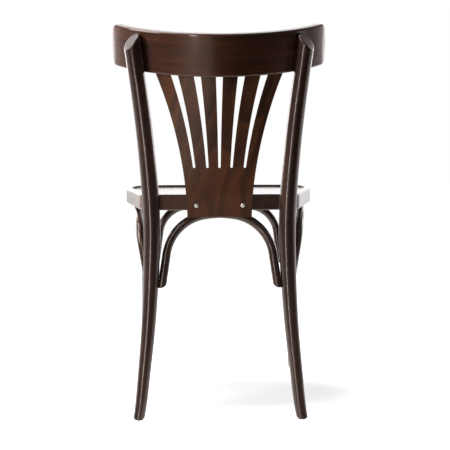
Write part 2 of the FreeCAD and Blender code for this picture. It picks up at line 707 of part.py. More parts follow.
def build_rail():
    derive_rail_end()
    body = new_body("rail_blank")
    board = new_sketch(body, "rail_board")
    rail_band(board, "Sizes.rail_radius", "Sizes.rail_radius - Sizes.rail_thickness",
              "(Sizes.rail_width / 2 + Sizes.rail_end_bulge)")
    pad(body, board, "Sizes.rail_height")
    for side, name in ((1, "rail_left_end"), (-1, "rail_right_end")):
        ended = pocket(body, rail_end_waste(body, name, side), "2 * Sizes.rail_thickness", symmetric=True)
    doc.recompute()
    faces = [face for face in ended.Shape.Faces
             if isinstance(face.Surface, Part.Cylinder) and abs(face.Surface.Axis.z) > 0.5]
    rims = [edge for face in faces for edge in face.Edges]
    dress(body, "Fillet", ended, lambda edge: any(edge.isSame(rim) for rim in rims), "Sizes.rail_edge_round")
    groove = new_sketch(body, "rail_groove")
    middle = "Sizes.rail_radius - Sizes.rail_thickness / 2"
    half_groove = "(Sizes.splat_thickness / 2 + Sizes.groove_gap)"
    rail_band(groove, f"{middle} + {half_groove}", f"{middle} - {half_groove}",
              f"(Sizes.splat_top_width / 2 + Sizes.groove_gap) * ({middle} + {half_groove})"
              f" / ({middle} - {half_groove})")
    pocket(body, groove, "Sizes.splat_tongue + Sizes.groove_gap", reverse=True)
    body.Placement = rail_place
    return body


def build_rail_clearance():
    """The space that the rail takes in the posts."""
    body = new_body("rail_clearance")
    board = new_sketch(body, "rail_clearance_board", offset_z="-Sizes.joint_gap")
    rail_band(board, "Sizes.rail_radius + Sizes.joint_gap", "Sizes.rail_radius - Sizes.rail_thickness",
              "(Sizes.rail_width / 2)")
    pad(body, board, "Sizes.rail_height + Sizes.rail_thickness")
    body.Placement = rail_place
    return body


# The splat: a sheet that is flat at the ring and bent like the rail at its top, then cut to a fan

def splat_section(body, name, place, bow):
    """A slice across the splat; bow is its bend as a share of the crest rail's."""
    sketch = new_sketch(body, name, offset=place)
    half = size("Sizes.splat_top_width / 2 + Sizes.splat_thickness")
    half_thick = size("Sizes.splat_thickness / 2")
    if bow == 0:
        polygon_in(sketch, [
            (f"{x_sign} * (Sizes.splat_top_width / 2 + Sizes.splat_thickness)",
             f"{y_sign} * Sizes.splat_thickness / 2")
            for x_sign, y_sign in ((1, 1), (-1, 1), (-1, -1), (1, -1))])
        return sketch
    radius = size("Sizes.rail_radius - Sizes.rail_thickness / 2") / bow
    angle = math.asin(half / radius)

    def at(offset, turn):
        reach = radius + offset
        return V(reach * math.sin(turn), reach * math.cos(turn) - radius, 0)

    back = sketch.addGeometry(Part.Arc(at(half_thick, angle), at(half_thick, 0), at(half_thick, -angle)))
    right = sketch.addGeometry(Part.LineSegment(at(half_thick, -angle), at(-half_thick, -angle)))
    front = sketch.addGeometry(Part.Arc(at(-half_thick, -angle), at(-half_thick, 0), at(-half_thick, angle)))
    left = sketch.addGeometry(Part.LineSegment(at(-half_thick, angle), at(half_thick, angle)))
    centre = f"-(Sizes.rail_radius - Sizes.rail_thickness / 2) / {bow}"
    for arc, sign in ((back, "+"), (front, "-")):
        pin_point(sketch, arc, 3, "0", centre)
        dimension(sketch, "Radius", (arc,), f"-({centre}) {sign} Sizes.splat_thickness / 2")
    for line, arcs in ((right, (back, front)), (left, (front, back))):
        for line_end, arc in zip((1, 2), arcs):
            arc_end = min(((arc, 1), (arc, 2)), key=lambda point: (
                sketch.getPoint(*point) - sketch.getPoint(line, line_end)).Length)
            sketch.addConstraint(Sketcher.Constraint("Coincident", *arc_end, line, line_end))
    return sketch


FAN_FOOT_Z = f"{RING_BOTTOM} - Sizes.splat_foot_below"
SPLAT_FRONT_Y = "Sizes.seat_depth / 2 + Sizes.splat_gap"
splat_foot_y = size(f"{SPLAT_FRONT_Y} + Sizes.splat_thickness / 2")
splat_meets_rail = rail_point(0, size("Sizes.rail_radius - Sizes.rail_thickness / 2"), 0)
derive("fan_top_z", round(splat_meets_rail.z + size("Sizes.splat_top_rise"), 4),
       "level where the fan's top width is given")
derive("fan_cut_z", round(size("Sizes.fan_top_z + Sizes.rail_height"), 4), "level past the top of the slats")


def splat_places():
    """Where the splat's slices lie, from foot to tongue, each with its share of the rail's bend.

    The sheet stands upright at the ring, leans back over one bend and then runs straight to the rail.
    """
    foot_low = size(FAN_FOOT_Z) - size("Sizes.splat_thickness")
    foot_high = size(f"{FAN_FOOT_Z} + Sizes.splat_foot_flat")
    bend = size("Sizes.splat_bend")
    height = splat_meets_rail.z - foot_high
    reach = splat_meets_rail.y - splat_foot_y
    lean = math.atan2(height, bend - reach) - math.acos(bend / math.hypot(height, bend - reach))

    def slice_at(y, z, turn):
        bow = max(0, (z - foot_high) / height)
        return FreeCAD.Placement(V(0, y, z), FreeCAD.Rotation(X_AXIS, -math.degrees(turn))), round(bow, 4)

    places = [slice_at(splat_foot_y, foot_low + (foot_high - foot_low) * share, 0) for share in (0, 0.5, 1)]
    for turn in (lean / 2, lean):
        places.append(slice_at(splat_foot_y + bend * (1 - math.cos(turn)), foot_high + bend * math.sin(turn), turn))
    bend_end = places[-1][0].Base
    for share in (0.3, 0.65):
        middle = bend_end + (splat_meets_rail - bend_end) * share
        places.append(slice_at(middle.y, middle.z, lean))
    for rise in ("0", "Sizes.splat_tongue"):
        centre = rail_point(0, size("Sizes.rail_radius - Sizes.rail_thickness / 2"), size(rise))
        places.append((FreeCAD.Placement(centre, rail_place.Rotation), 1))
    return places


def fan_half_width(z):
    """Half the fan's width at a height, on its bowed side."""
    low = V(size("Sizes.splat_foot_width / 2"), size(FAN_FOOT_Z), 0)
    high = V(size("Sizes.splat_top_width / 2"), size("Sizes.fan_top_z"), 0)
    radius = size("Sizes.splat_side_radius")
    chord = high - low
    outward = unit(V(chord.y, -chord.x, 0))
    centre = (low + high) * 0.5 + outward * math.sqrt(radius ** 2 - (chord.Length / 2) ** 2)
    return centre.x - math.sqrt(radius ** 2 - (z - centre.y) ** 2)


def bowed_line(sketch, start, end, radius, side):
    """An arc between two pinned points, given as pairs of expressions, with a bound radius."""
    first = V(*sizes_of(*start), 0)
    last = V(*sizes_of(*end), 0)
    arc = sketch.addGeometry(bowed_edge(first, last, size(radius), side))
    at_start = (sketch.getPoint(arc, 1) - first).Length < (sketch.getPoint(arc, 2) - first).Length
    near, far = (1, 2) if at_start else (2, 1)
    pin_point(sketch, arc, near, *start)
    pin_point(sketch, arc, far, *end)
    dimension(sketch, "Radius", (arc,), radius)
    return (arc, near), (arc, far)


def straight_line(sketch, start, end):
    """A line between two ends that are already pinned."""
    line = sketch.addGeometry(Part.LineSegment(sketch.getPoint(*start), sketch.getPoint(*end)))
    sketch.addConstraint(Sketcher.Constraint("Coincident", line, 1, *start))
    sketch.addConstraint(Sketcher.Constraint("Coincident", line, 2, *end))


derive("fan_foot_radius", round((size("Sizes.splat_foot_width") ** 2 / 4 + size("Sizes.splat_foot_rise") ** 2)
                                / size("2 * Sizes.splat_foot_rise"), 4), "hollow of the fan's foot")


def fan_waste(body):
    """All of the sheet that lies outside the fan."""
    sketch = new_sketch(body, "fan_waste", role="XZ_Plane")
    margin = "(Sizes.splat_top_width / 2 + 4 * Sizes.splat_thickness)"
    low = f"{FAN_FOOT_Z} - 4 * Sizes.splat_thickness"
    polygon_in(sketch, [(f"-{margin}", low), (margin, low), (margin, "Sizes.fan_cut_z"),
                        (f"-{margin}", "Sizes.fan_cut_z")])
    sides = []
    for sign, bulge in ((1, 1), (-1, -1)):
        sides.append(bowed_line(sketch, (f"{sign} * Sizes.splat_foot_width / 2", FAN_FOOT_Z),
                                (f"{sign} * Sizes.splat_top_width / 2", "Sizes.fan_top_z"),
                                "Sizes.splat_side_radius", bulge))
    bowed_line(sketch, ("Sizes.splat_foot_width / 2", FAN_FOOT_Z), ("-Sizes.splat_foot_width / 2", FAN_FOOT_Z),
               "Sizes.fan_foot_radius", -1)
    straight_line(sketch, sides[0][1], sides[1][1])
    return sketch


SLOT_LOW_Z = f"{RING_BOTTOM} + Sizes.slot_low_rise"
derive("slot_low_half", round(fan_half_width(size(SLOT_LOW_Z)), 4), "half the fan's width at the slots' lower ends")


def slot_outline(sketch, low, top, bows, sides):
    """One slot: its two bowed edges, its rounded lower end and its open top."""
    edges = []
    for low_x, top_x, bow, side in zip(low, top, bows, sides):
        edges.append(bowed_line(sketch, (low_x, SLOT_LOW_Z), (top_x, "Sizes.fan_top_z"),
                                f"Sizes.splat_side_radius / ({bow})", side))
    bowed_line(sketch, (low[0], SLOT_LOW_Z), (low[1], SLOT_LOW_Z), "0.55 * Sizes.slot_low_width", -sides[1])
    straight_line(sketch, edges[0][1], edges[1][1])


def fan_slots(body):
    sketch = new_sketch(body, "fan_slots", role="XZ_Plane")
    slot_outline(sketch, ("-Sizes.slot_low_width / 2", "Sizes.slot_low_width / 2"),
                 ("-Sizes.slot_top_width / 2", "Sizes.slot_top_width / 2"),
                 ("Sizes.slot_flare / 2", "Sizes.slot_flare / 2"), (-1, 1))
    for near in ("Sizes.inner_slot", "Sizes.outer_slot"):
        low = f"{near} * Sizes.slot_low_half"
        top = f"{near} * Sizes.splat_top_width / 2"
        for sign in (1, -1):
            slot_outline(sketch, (f"{sign} * {low}", f"{sign} * ({low} + Sizes.slot_low_width)"),
                         (f"{sign} * {top}", f"{sign} * ({top} + Sizes.slot_top_width)"),
                         (near, f"{near} + Sizes.slot_flare"), (sign, sign))
    return sketch


SPLAT_SCREW_Z = f"{RING_BOTTOM} + Sizes.splat_screw_rise"


def build_splat():
    body = new_body("splat")
    slices = [splat_section(body, f"splat_slice_{number}", place, bow)
              for number, (place, bow) in enumerate(splat_places())]
    doc.recompute()
    loft(body, slices)
    through = "4 * Sizes.seat_depth"
    pocket(body, fan_waste(body), through, symmetric=True)
    pocket(body, fan_slots(body), through, symmetric=True)
    holes = new_sketch(body, "splat_screw_holes", role="XZ_Plane",
                       offset_z=f"-({SPLAT_FRONT_Y} + Sizes.splat_thickness / 2)")
    for side in ("", "-"):
        circle_in(holes, f"{side}Sizes.splat_screw_spacing / 2", SPLAT_SCREW_Z,
                  "Sizes.splat_screw_diameter + 2 * Sizes.screw_gap")
    pocket(body, holes, "4 * Sizes.splat_thickness", symmetric=True)
    return body


# Legs

def post_cut_point(angle):
    """A point of the bent cut across the post's top, from the cut's tip, where the cut faces so far from upright."""
    return (f"Sizes.post_cut_radius * (sin({angle}) - sin(Sizes.post_cut_angle))",
            f"Sizes.post_cut_radius * (cos({angle}) - cos(Sizes.post_cut_angle))")


def build_rear_leg_rod():
    body = swept_rod("rear_leg_rod", REAR_WAIST, [REAR_FOOT, POST_TOP], "0")
    angle = post_angle(size("Sizes.rail_height"))
    outward = rail_outward(angle)
    upward = rail_place.Rotation.multVec(Z_AXIS)
    tip = rail_point(angle, size("Sizes.rail_radius"), size("Sizes.rail_height - Sizes.post_cut_drop"))
    downhill = FreeCAD.Rotation(upward, -size("Sizes.post_cut_turn")).multVec(outward)
    place = FreeCAD.Placement(tip, turned_to(downhill, downhill.cross(upward)))
    waste = new_sketch(body, "post_waste", offset=place)
    start, end = post_cut_point("Sizes.post_cut_angle - 30"), post_cut_point("Sizes.post_cut_angle + 75")
    bowed_line(waste, start, end, "Sizes.post_cut_radius", 1)
    far = "4 * Sizes.post_top_diameter"
    pinned_path(waste, [end, (f"{end[0]} + {far}", end[1]), (f"{end[0]} + {far}", f"{start[1]} + {far}"),
                        (start[0], f"{start[1]} + {far}"), start])
    cut_post = pocket(body, waste, "4 * Sizes.post_top_diameter", symmetric=True)
    doc.recompute()
    rims = [edge for face in cut_post.Shape.Faces if isinstance(face.Surface, Part.Cylinder) for edge in face.Edges]
    dress(body, "Fillet", cut_post, lambda edge: any(edge.isSame(rim) for rim in rims), "Sizes.post_cut_round")
    return body


def build_front_leg_rod():
    body = swept_rod("front_leg_rod", FRONT_TOP, [FRONT_FOOT], "0")
    tenon = new_sketch(body, "front_tenon", offset_z=RING_BOTTOM)
    circle_in(tenon, "Sizes.front_leg_x", "-Sizes.front_leg_y", "Sizes.tenon_diameter")
    pad(body, tenon, "Sizes.tenon_length")
    return body


# Arches: straight runs that lean inwards, two shoulders and a flatter crown, all meeting smoothly

ARCH_CROWN_Z = f"{RING_BOTTOM} - Sizes.arch_diameter / 2 + Sizes.arch_seat_flat"
crown_z = size(ARCH_CROWN_Z)
end_z = size(ARCH_END_Z)
rear_leg_low = rear_leg_at(end_z)
front_leg_low = front_leg_at(end_z)
rear_reach = rod_radius(REAR_WAIST, rear_leg_end(end_z), end_z) + size(
    "Sizes.arch_diameter / 2 - Sizes.arch_end_inset")
front_reach = rod_radius(FRONT_TOP, FRONT_FOOT, end_z) + size("Sizes.arch_diameter / 2 - Sizes.arch_end_inset")


class Arch:
    """An arch's ends and crown, and the bends that join them smoothly."""

    def __init__(self, name, start, end, crown):
        self.name = name
        self.start = start
        self.end = end
        self.crown = crown
        self.middle = (start + end) * 0.5
        self.straight = f"Sizes.{name}_straight"
        half_span = (end - start).Length / 2
        rise = (crown - self.middle).Length
        turn = math.radians(size(f"Sizes.{name}_turn"))
        lean, straight = sizes_of("Sizes.arch_lean", self.straight)
        slope = math.atan2(lean, straight)
        across = half_span - lean
        upward = rise - straight
        scale = math.sin(turn) * (1 - math.sin(slope)) - math.cos(slope) * (1 - math.cos(turn))
        shoulder = (math.sin(turn) * upward - (1 - math.cos(turn)) * across) / scale
        difference = (across * (1 - math.sin(slope)) - upward * math.cos(slope)) / scale
        derive(f"{name}_half_span", round(half_span, 4), "half the distance between its ends")
        derive(f"{name}_rise", round(rise, 4), "its crown above its ends, along its plane")
        derive(f"{name}_shoulder", round(shoulder, 4), "bend of its shoulders")
        derive(f"{name}_crown", round(shoulder + difference, 4), "bend of its crown")
        self.turn = turn
        self.slope = slope

    def curve(self, body):
        """The arch's centre line, with its ends on the X axis of its own plane."""
        half_span, rise, shoulder, crown, lean, straight = sizes_of(
            f"Sizes.{self.name}_half_span", f"Sizes.{self.name}_rise", f"Sizes.{self.name}_shoulder",
            f"Sizes.{self.name}_crown", "Sizes.arch_lean", self.straight)
        crown_centre = V(0, rise - crown, 0)
        shoulder_centre = crown_centre + V(math.sin(self.turn), math.cos(self.turn), 0) * (crown - shoulder)

        def round_shoulder(angle):
            return shoulder_centre + V(math.cos(angle), math.sin(angle), 0) * shoulder

        top_angle = math.pi / 2 - self.turn
        low = V(half_span, 0, 0)
        bend = V(half_span - lean, straight, 0)
        middle = round_shoulder((self.slope + top_angle) / 2)
        join = round_shoulder(top_angle)
        sketch = new_sketch(body, body.Name + "_curve", role="XZ_Plane")
        outline = [Part.LineSegment(flip(low), flip(bend)), Part.Arc(flip(bend), flip(middle), flip(join)),
                   Part.Arc(flip(join), V(0, rise, 0), join), Part.Arc(join, middle, bend),
                   Part.LineSegment(bend, low)]
        ids = [sketch.addGeometry(item) for item in outline]
        for first, second in zip(ids, ids[1:]):
            join_tangent(sketch, first, second)
        span = f"Sizes.{self.name}_half_span"
        pin_point(sketch, ids[0], 1, f"-{span}", "0")
        pin_point(sketch, ids[0], 2, f"-({span} - Sizes.arch_lean)", self.straight)
        pin_point(sketch, ids[4], 1, f"{span} - Sizes.arch_lean", self.straight)
        pin_point(sketch, ids[4], 2, span, "0")
        pin_point(sketch, ids[2], 3, "0", f"Sizes.{self.name}_rise - Sizes.{self.name}_crown")
        dimension(sketch, "Radius", (ids[1],), f"Sizes.{self.name}_shoulder")
        return sketch

    def rod(self, name):
        """The bent rod, with rounded ends, in its place."""
        body = new_body(name)
        spine = self.curve(body)
        doc.recompute()
        section = body.newObject("Sketcher::SketchObject", name + "_section")
        section.AttachmentSupport = [(spine, "Edge1")]
        section.MapMode = "NormalToEdge"
        section.MapPathParameter = 0.0
        circle_in(section, "0", "0", "Sizes.arch_diameter")
        doc.recompute()
        pipe = body.newObject("PartDesign::AdditivePipe", name + "_pipe")
        pipe.Profile = section
        pipe.Spine = (spine, [f"Edge{number}" for number in range(1, 6)])
        diameter = size("Sizes.arch_diameter")
        dress(body, "Fillet", pipe, lambda edge: edge.BoundBox.ZMax < diameter / 2 and edge.BoundBox.XLength
              < 1.5 * diameter, "Sizes.arch_end_ease")
        return placed(body, self.middle, turned_to(self.end - self.start, self.crown - self.middle))

    def end_frame(self, at_end):
        """One end's middle, with the directions inwards and up along the straight run above it."""
        foot, other = (self.end, self.start) if at_end else (self.start, self.end)
        inward = unit(other - foot)
        upward = unit(self.crown - self.middle)
        run = upward * math.cos(self.slope) + inward * math.sin(self.slope)
        return foot, inward * math.cos(self.slope) - upward * math.sin(self.slope), run

    def end_axis(self, height, at_end):
        """A point of the arch's centre line, a height above one of its ends."""
        foot, inward, run = self.end_frame(at_end)
        return foot + run * (height / run.z)

    def end_waste(self, name, at_end):
        """What is rounded off one end on its free side: a block round a cylinder."""
        foot, inward, run = self.end_frame(at_end)
        centre = foot + run * size("Sizes.arch_end_round") + inward * size(
            "Sizes.arch_diameter / 2 - Sizes.arch_end_round")
        turn = turned_to(inward, run * -1)
        across = turn.multVec(Y_AXIS)
        reach = "3 * Sizes.arch_end_round"
        block = doc.addObject("Part::Box", name + "_block")
        for axis in ("Length", "Width", "Height"):
            block.setExpression(axis, reach)
        placed(block, centre - across * size(f"{reach} / 2"), turn)
        waste = doc.addObject("Part::Cut", name)
        waste.Base = block
        waste.Tool = cylinder(name + "_round", centre - across * size(reach), across, "2 * Sizes.arch_end_round",
                              f"2 * {reach}")
        return waste


rear_end = V(rear_leg_low.x - rear_reach, rear_leg_low.y, end_z)
front_end = V(front_leg_low.x - front_reach, front_leg_low.y, end_z)
rear_curve = Arch("rear_arch", flip(rear_end), rear_end,
                  V(0, size("Sizes.seat_depth / 2 - Sizes.rear_crown_inset"), crown_z))
front_curve = Arch("front_arch", flip(front_end), front_end,
                   V(0, size("Sizes.front_crown_inset - Sizes.seat_depth / 2"), crown_z))


def side_arch():
    """The left side's arch, from behind the front leg to in front of the rear leg."""
    shift = size("Sizes.side_end_shift")
    start = front_leg_low + V(-shift, math.sqrt(front_reach ** 2 - shift ** 2), 0)
    end = rear_leg_low + V(shift, -math.sqrt(rear_reach ** 2 - shift ** 2), 0)
    middle = (start + end) * 0.5
    along = unit(end - start)
    crown = V(0, middle.y, crown_z)
    for _ in range(8):
        crown.x = ring_edge_x(crown.y) - size("Sizes.side_crown_inset")
        crown.y -= (crown - middle).dot(along) / along.y
    return Arch("side_arch", start, end, crown)


side_curve = side_arch()


# Screws

def turned_body(name, points, arcs=()):
    """A body turned about its own Z axis from points given as pairs of radius and height.

    Each of the arcs is the number of an outline edge that bulges away from the axis, with its radius.
    """
    body = new_body(name)
    sketch = new_sketch(body, name + "_profile", role="XZ_Plane")
    bulges = dict(arcs)
    for index in range(len(points)):
        following = points[(index + 1) % len(points)]
        if index in bulges:
            bowed_line(sketch, points[index], following, bulges[index], -1)
        else:
            pinned_line(sketch, points[index], following)
    turned = body.newObject("PartDesign::Revolution", name + "_turned")
    turned.Profile = sketch
    turned.ReferenceAxis = (sketch, ["V_Axis"])
    turned.Angle = 360
    return body


def wood_screw(name, start, direction, length):
    """A slotted countersunk screw whose head's top is at the start, with the point ahead."""
    shank = "Sizes.wood_screw_diameter / 2"
    body = turned_body(name, [("0", "0"), ("Sizes.wood_screw_head / 2", "0"),
                              (shank, f"Sizes.wood_screw_head / 2 - {shank}"),
                              (shank, f"{length} - {shank}"), ("0", length)])
    slot = new_sketch(body, name + "_slot")
    reach = "Sizes.wood_screw_head"
    half = "Sizes.screw_slot / 2"
    polygon_in(slot, [(f"-{reach}", f"-{half}"), (reach, f"-{half}"), (reach, half), (f"-{reach}", half)])
    pocket(body, slot, "Sizes.slot_depth", reverse=True)
    return placed(body, start, FreeCAD.Rotation(Z_AXIS, unit(direction)))


def splat_screw(name, start, direction):
    """A screw with a domed head and a crossed recess; its head's flat side is at the start."""
    shank = "Sizes.splat_screw_diameter / 2"
    radius = "(Sizes.splat_screw_head ^ 2 / 4 + Sizes.splat_screw_dome ^ 2) / (2 * Sizes.splat_screw_dome)"
    body = turned_body(name, [("Sizes.splat_screw_head / 2", "0"), (shank, "0"),
                              (shank, f"Sizes.splat_screw_length - {shank}"),
                              ("0", "Sizes.splat_screw_length"), ("0", "-Sizes.splat_screw_dome")], [(4, radius)])
    recess = new_sketch(body, name + "_recess", offset_z="-Sizes.splat_screw_dome")
    reach = "Sizes.splat_screw_head / 3.4"
    half = "Sizes.screw_slot / 2"
    polygon_in(recess, [(reach, f"-{half}"), (reach, half), (half, half), (half, reach), (f"-{half}", reach),
                        (f"-{half}", half), (f"-{reach}", half), (f"-{reach}", f"-{half}"),
                        (f"-{half}", f"-{half}"), (f"-{half}", f"-{reach}"), (half, f"-{reach}"),
                        (half, f"-{half}")])
    pocket(body, recess, "1.4 * Sizes.slot_depth", reverse=True)
    return placed(body, start, FreeCAD.Rotation(Z_AXIS, unit(direction)))


def pilot(name, start, direction, diameter, length):
    """The hole for a fastener, a little wider and deeper than it is."""
    return cylinder(name, start, direction, f"{diameter} + 2 * Sizes.screw_gap", f"{length} + Sizes.screw_gap")


class WoodScrew:
    """A screw through a rod, sunk from the far side of the rod's centre, with its hole and countersink."""

    def __init__(self, name, rod_point, direction, length):
        start = rod_point - unit(direction) * size("Sizes.arch_diameter / 2 - Sizes.wood_screw_sink")
        self.solid = wood_screw(name, start, direction, length)
        self.hole = pilot(name + "_hole", start, direction, "Sizes.wood_screw_diameter", length)
        self.sink = countersink(name + "_sink", start, direction)


def end_screw(name, arch, at_end, rise, leg_at):
    """The screw through an arch's end into a leg, whose centre is given by its height."""
    rod_point = arch.end_axis(size(rise), at_end)
    return WoodScrew(name, rod_point, leg_at(rod_point.z) - rod_point, "Sizes.end_screw_length")


rear_end_screw = end_screw("rear_end_screw", rear_curve, True, "Sizes.end_screw_rise", rear_leg_at)
front_end_screw = end_screw("front_end_screw", front_curve, True, "Sizes.end_screw_rise", front_leg_at)
side_rear_screw = end_screw("side_rear_screw", side_curve, True, "Sizes.side_screw_rise", rear_leg_at)
side_front_screw = end_screw("side_front_screw", side_curve, False, "Sizes.side_screw_rise", front_leg_at)
rear_crown_screw = WoodScrew("rear_crown_screw", rear_curve.crown, Z_AXIS, "Sizes.crown_screw_length")
front_crown_screw = WoodScrew("front_crown_screw", front_curve.crown, Z_AXIS, "Sizes.crown_screw_length")
side_crown_screw = WoodScrew("side_crown_screw", side_curve.crown, Z_AXIS, "Sizes.crown_screw_length")

splat_screw_start = V(size("Sizes.splat_screw_spacing / 2"),
                      size(f"{SPLAT_FRONT_Y} + Sizes.splat_thickness + Sizes.splat_gap"), size(SPLAT_SCREW_Z))
splat_screw_body = splat_screw("splat_screw", splat_screw_start, -Y_AXIS)
splat_screw_pilot = pilot("splat_screw_pilot", splat_screw_start, -Y_AXIS, "Sizes.splat_screw_diameter",
                          "Sizes.splat_screw_length")


# Bolts between the ring and the rear legs, from a flat on the ring's inner side to an insert in the leg

bolt_z = size(f"{RING_BOTTOM} + Sizes.bolt_rise")
bolt_origin = V(rear_corner.x, rear_corner.y, bolt_z)
bolt_direction = unit(rear_leg_at(bolt_z) - bolt_origin)
inner_radius = "(Sizes.seat_rear_corner - Sizes.ring_band)"


def along_bolt(distance):
    """A point of the bolt's axis, at an expression's distance from the centre of the ring's rear corner."""
    return bolt_origin + bolt_direction * size(distance)


def tube(name, start, diameter, bore, length):
    """A washer or an insert round the bolt."""
    body = new_body(name)
    sketch = new_sketch(body, name + "_outline")
    circle_in(sketch, "0", "0", diameter)
    circle_in(sketch, "0", "0", f"{bore} + 2 * Sizes.screw_gap")
    pad(body, sketch, length)
    return placed(body, along_bolt(start), FreeCAD.Rotation(Z_AXIS, bolt_direction))


def build_bolt():
    body = new_body("bolt")
    head = new_sketch(body, "bolt_head", offset_z="-Sizes.bolt_head_height")
    flat = "Sizes.bolt_head_width / 2"
    corner = "Sizes.bolt_head_width / 3 ^ 0.5"
    polygon_in(head, [(flat, f"{corner} / 2"), ("0", corner), (f"-{flat}", f"{corner} / 2"),
                      (f"-{flat}", f"-{corner} / 2"), ("0", f"-{corner}"), (flat, f"-{corner} / 2")])
    pad(body, head, "Sizes.bolt_head_height")
    shank = new_sketch(body, "bolt_shank")
    circle_in(shank, "0", "0", "Sizes.bolt_diameter")
    pad(body, shank, "Sizes.bolt_length")
    return placed(body, along_bolt(f"{inner_radius} + Sizes.spotface_depth - Sizes.washer_thickness"),
                  FreeCAD.Rotation(Z_AXIS, bolt_direction))


bolt = build_bolt()
washer = tube("washer", f"{inner_radius} + Sizes.spotface_depth - Sizes.washer_thickness",
              "Sizes.washer_diameter", "Sizes.bolt_diameter", "Sizes.washer_thickness")
leg_surface = "(Sizes.seat_rear_corner + Sizes.joint_gap)"
insert_nut = tube("insert_nut", f"{leg_surface} + Sizes.nut_inset", "Sizes.nut_diameter",
                  "Sizes.bolt_diameter", "Sizes.nut_length")
bolt_hole = pilot("bolt_hole", along_bolt(inner_radius), bolt_direction, "Sizes.bolt_diameter",
                  f"Sizes.bolt_length + {inner_radius}")
spotface = cylinder("spotface", along_bolt(f"{inner_radius} + Sizes.spotface_depth"), -bolt_direction,
                    "Sizes.washer_diameter + 8 * Sizes.screw_gap", "2 * Sizes.washer_diameter")
nut_hole = pilot("nut_hole", along_bolt(f"{leg_surface} - Sizes.nut_inset"), bolt_direction, "Sizes.nut_diameter",
                 "Sizes.nut_length + 2 * Sizes.nut_inset + Sizes.bolt_diameter / 2")


# Dowels between the crest rail and the posts

def dowel_pair(name, height):
    """A dowel and its hole, square to the rail's bend through the post's middle."""
    angle = post_angle(size(height))
    start = rail_point(angle, size("Sizes.rail_radius - Sizes.dowel_in_rail"), size(height))
    length = "Sizes.dowel_in_rail + Sizes.dowel_in_post"
    dowel = cylinder(name, start, rail_outward(angle), "Sizes.dowel_diameter", length)
    hole = cylinder(name + "_hole", start, rail_outward(angle), "Sizes.dowel_diameter + 2 * Sizes.screw_gap",
                    f"{length} + Sizes.joint_gap", "Sizes.joint_gap")
    return dowel, hole


low_dowel, low_dowel_hole = dowel_pair("low_dowel", "Sizes.dowel_low")
high_dowel, high_dowel_hole = dowel_pair("high_dowel", "Sizes.dowel_high")


# Glides

def build_glide(name, x, y):
    """A round glide with its nail, under one foot."""
    body = new_body(name)
    disc = new_sketch(body, name + "_disc")
    circle_in(disc, x, y, "Sizes.glide_diameter")
    disc_pad = pad(body, disc, "Sizes.glide_height")
    dress(body, "Fillet", disc_pad, lambda edge: edge.BoundBox.ZMax < 0.01, "Sizes.glide_height / 3")
    nail = new_sketch(body, name + "_nail", offset_z="Sizes.glide_height")
    circle_in(nail, x, y, "Sizes.glide_nail_diameter")
    pad(body, nail, "Sizes.glide_nail_length")
    return body


def foot_bevel(name, x, y):
    """The waste that chamfers a foot's lower edge: a ring round a cone."""
    blank = doc.addObject("Part::Cylinder", name + "_blank")
    blank.setExpression("Radius", "Sizes.foot_diameter")
    blank.setExpression("Height", "Sizes.foot_chamfer")
    cone = doc.addObject("Part::Cone", name + "_cone")
    cone.setExpression("Radius1", "Sizes.foot_diameter / 2 - Sizes.foot_chamfer")
    cone.setExpression("Radius2", "Sizes.foot_diameter / 2")
    cone.setExpression("Height", "Sizes.foot_chamfer")
    waste = doc.addObject("Part::Cut", name)
    waste.Base = placed(blank, V(*sizes_of(x, y, "Sizes.glide_height")))
    waste.Tool = placed(cone, V(*sizes_of(x, y, "Sizes.glide_height")))
    return waste


def nail_hole(name, x, y):
    return pilot(name, V(*sizes_of(x, y, "Sizes.glide_height")), Z_AXIS, "Sizes.glide_nail_diameter",
                 "Sizes.glide_nail_length")


rear_glide = build_glide("rear_glide", REAR_FOOT["x"], REAR_FOOT["y"])
front_glide = build_glide("front_glide", FRONT_FOOT["x"], FRONT_FOOT["y"])
rear_nail_hole = nail_hole("rear_nail_hole", REAR_FOOT["x"], REAR_FOOT["y"])
front_nail_hole = nail_hole("front_nail_hole", FRONT_FOOT["x"], FRONT_FOOT["y"])
rear_bevel = foot_bevel("rear_bevel", REAR_FOOT["x"], REAR_FOOT["y"])
front_bevel = foot_bevel("front_bevel", FRONT_FOOT["x"], FRONT_FOOT["y"])


# Assembly

def pair(obj):
    """An object of the left side and its mirror image."""
    return [obj, mirrored(obj.Name + "_mirrored", obj)]


def group(name, members):
    compound = doc.addObject("Part::Compound", name)
    compound.Links = members
    return compound


tenon_hole = cylinder("tenon_hole", V(*sizes_of("Sizes.front_leg_x", "-Sizes.front_leg_y", RING_BOTTOM)), Z_AXIS,
                      "Sizes.tenon_diameter + 2 * Sizes.joint_gap", "Sizes.tenon_length + Sizes.joint_gap")
ring_tools = [rear_crown_screw.hole, front_crown_screw.hole]
for tool in (tenon_hole, side_crown_screw.hole, splat_screw_pilot, bolt_hole, spotface):
    ring_tools += pair(tool)
finish(cut("ring", build_ring(), ring_tools), "seat_ring")
finish(build_panel(), "seat_panel")

rail_tools = pair(low_dowel_hole) + pair(high_dowel_hole)
finish(cut("rail", build_rail(), rail_tools), "crest_rail")
finish(build_splat(), "back_splat")

rear_leg_tools = [build_ring_clearance(), build_rail_clearance(), nut_hole, low_dowel_hole, high_dowel_hole,
                  rear_end_screw.hole, side_rear_screw.hole, rear_nail_hole, rear_bevel]
finish_pair(cut("rear_leg", build_rear_leg_rod(), rear_leg_tools), "rear_leg")
front_leg_tools = [front_end_screw.hole, side_front_screw.hole, front_nail_hole, front_bevel]
finish_pair(cut("front_leg", build_front_leg_rod(), front_leg_tools), "front_leg")

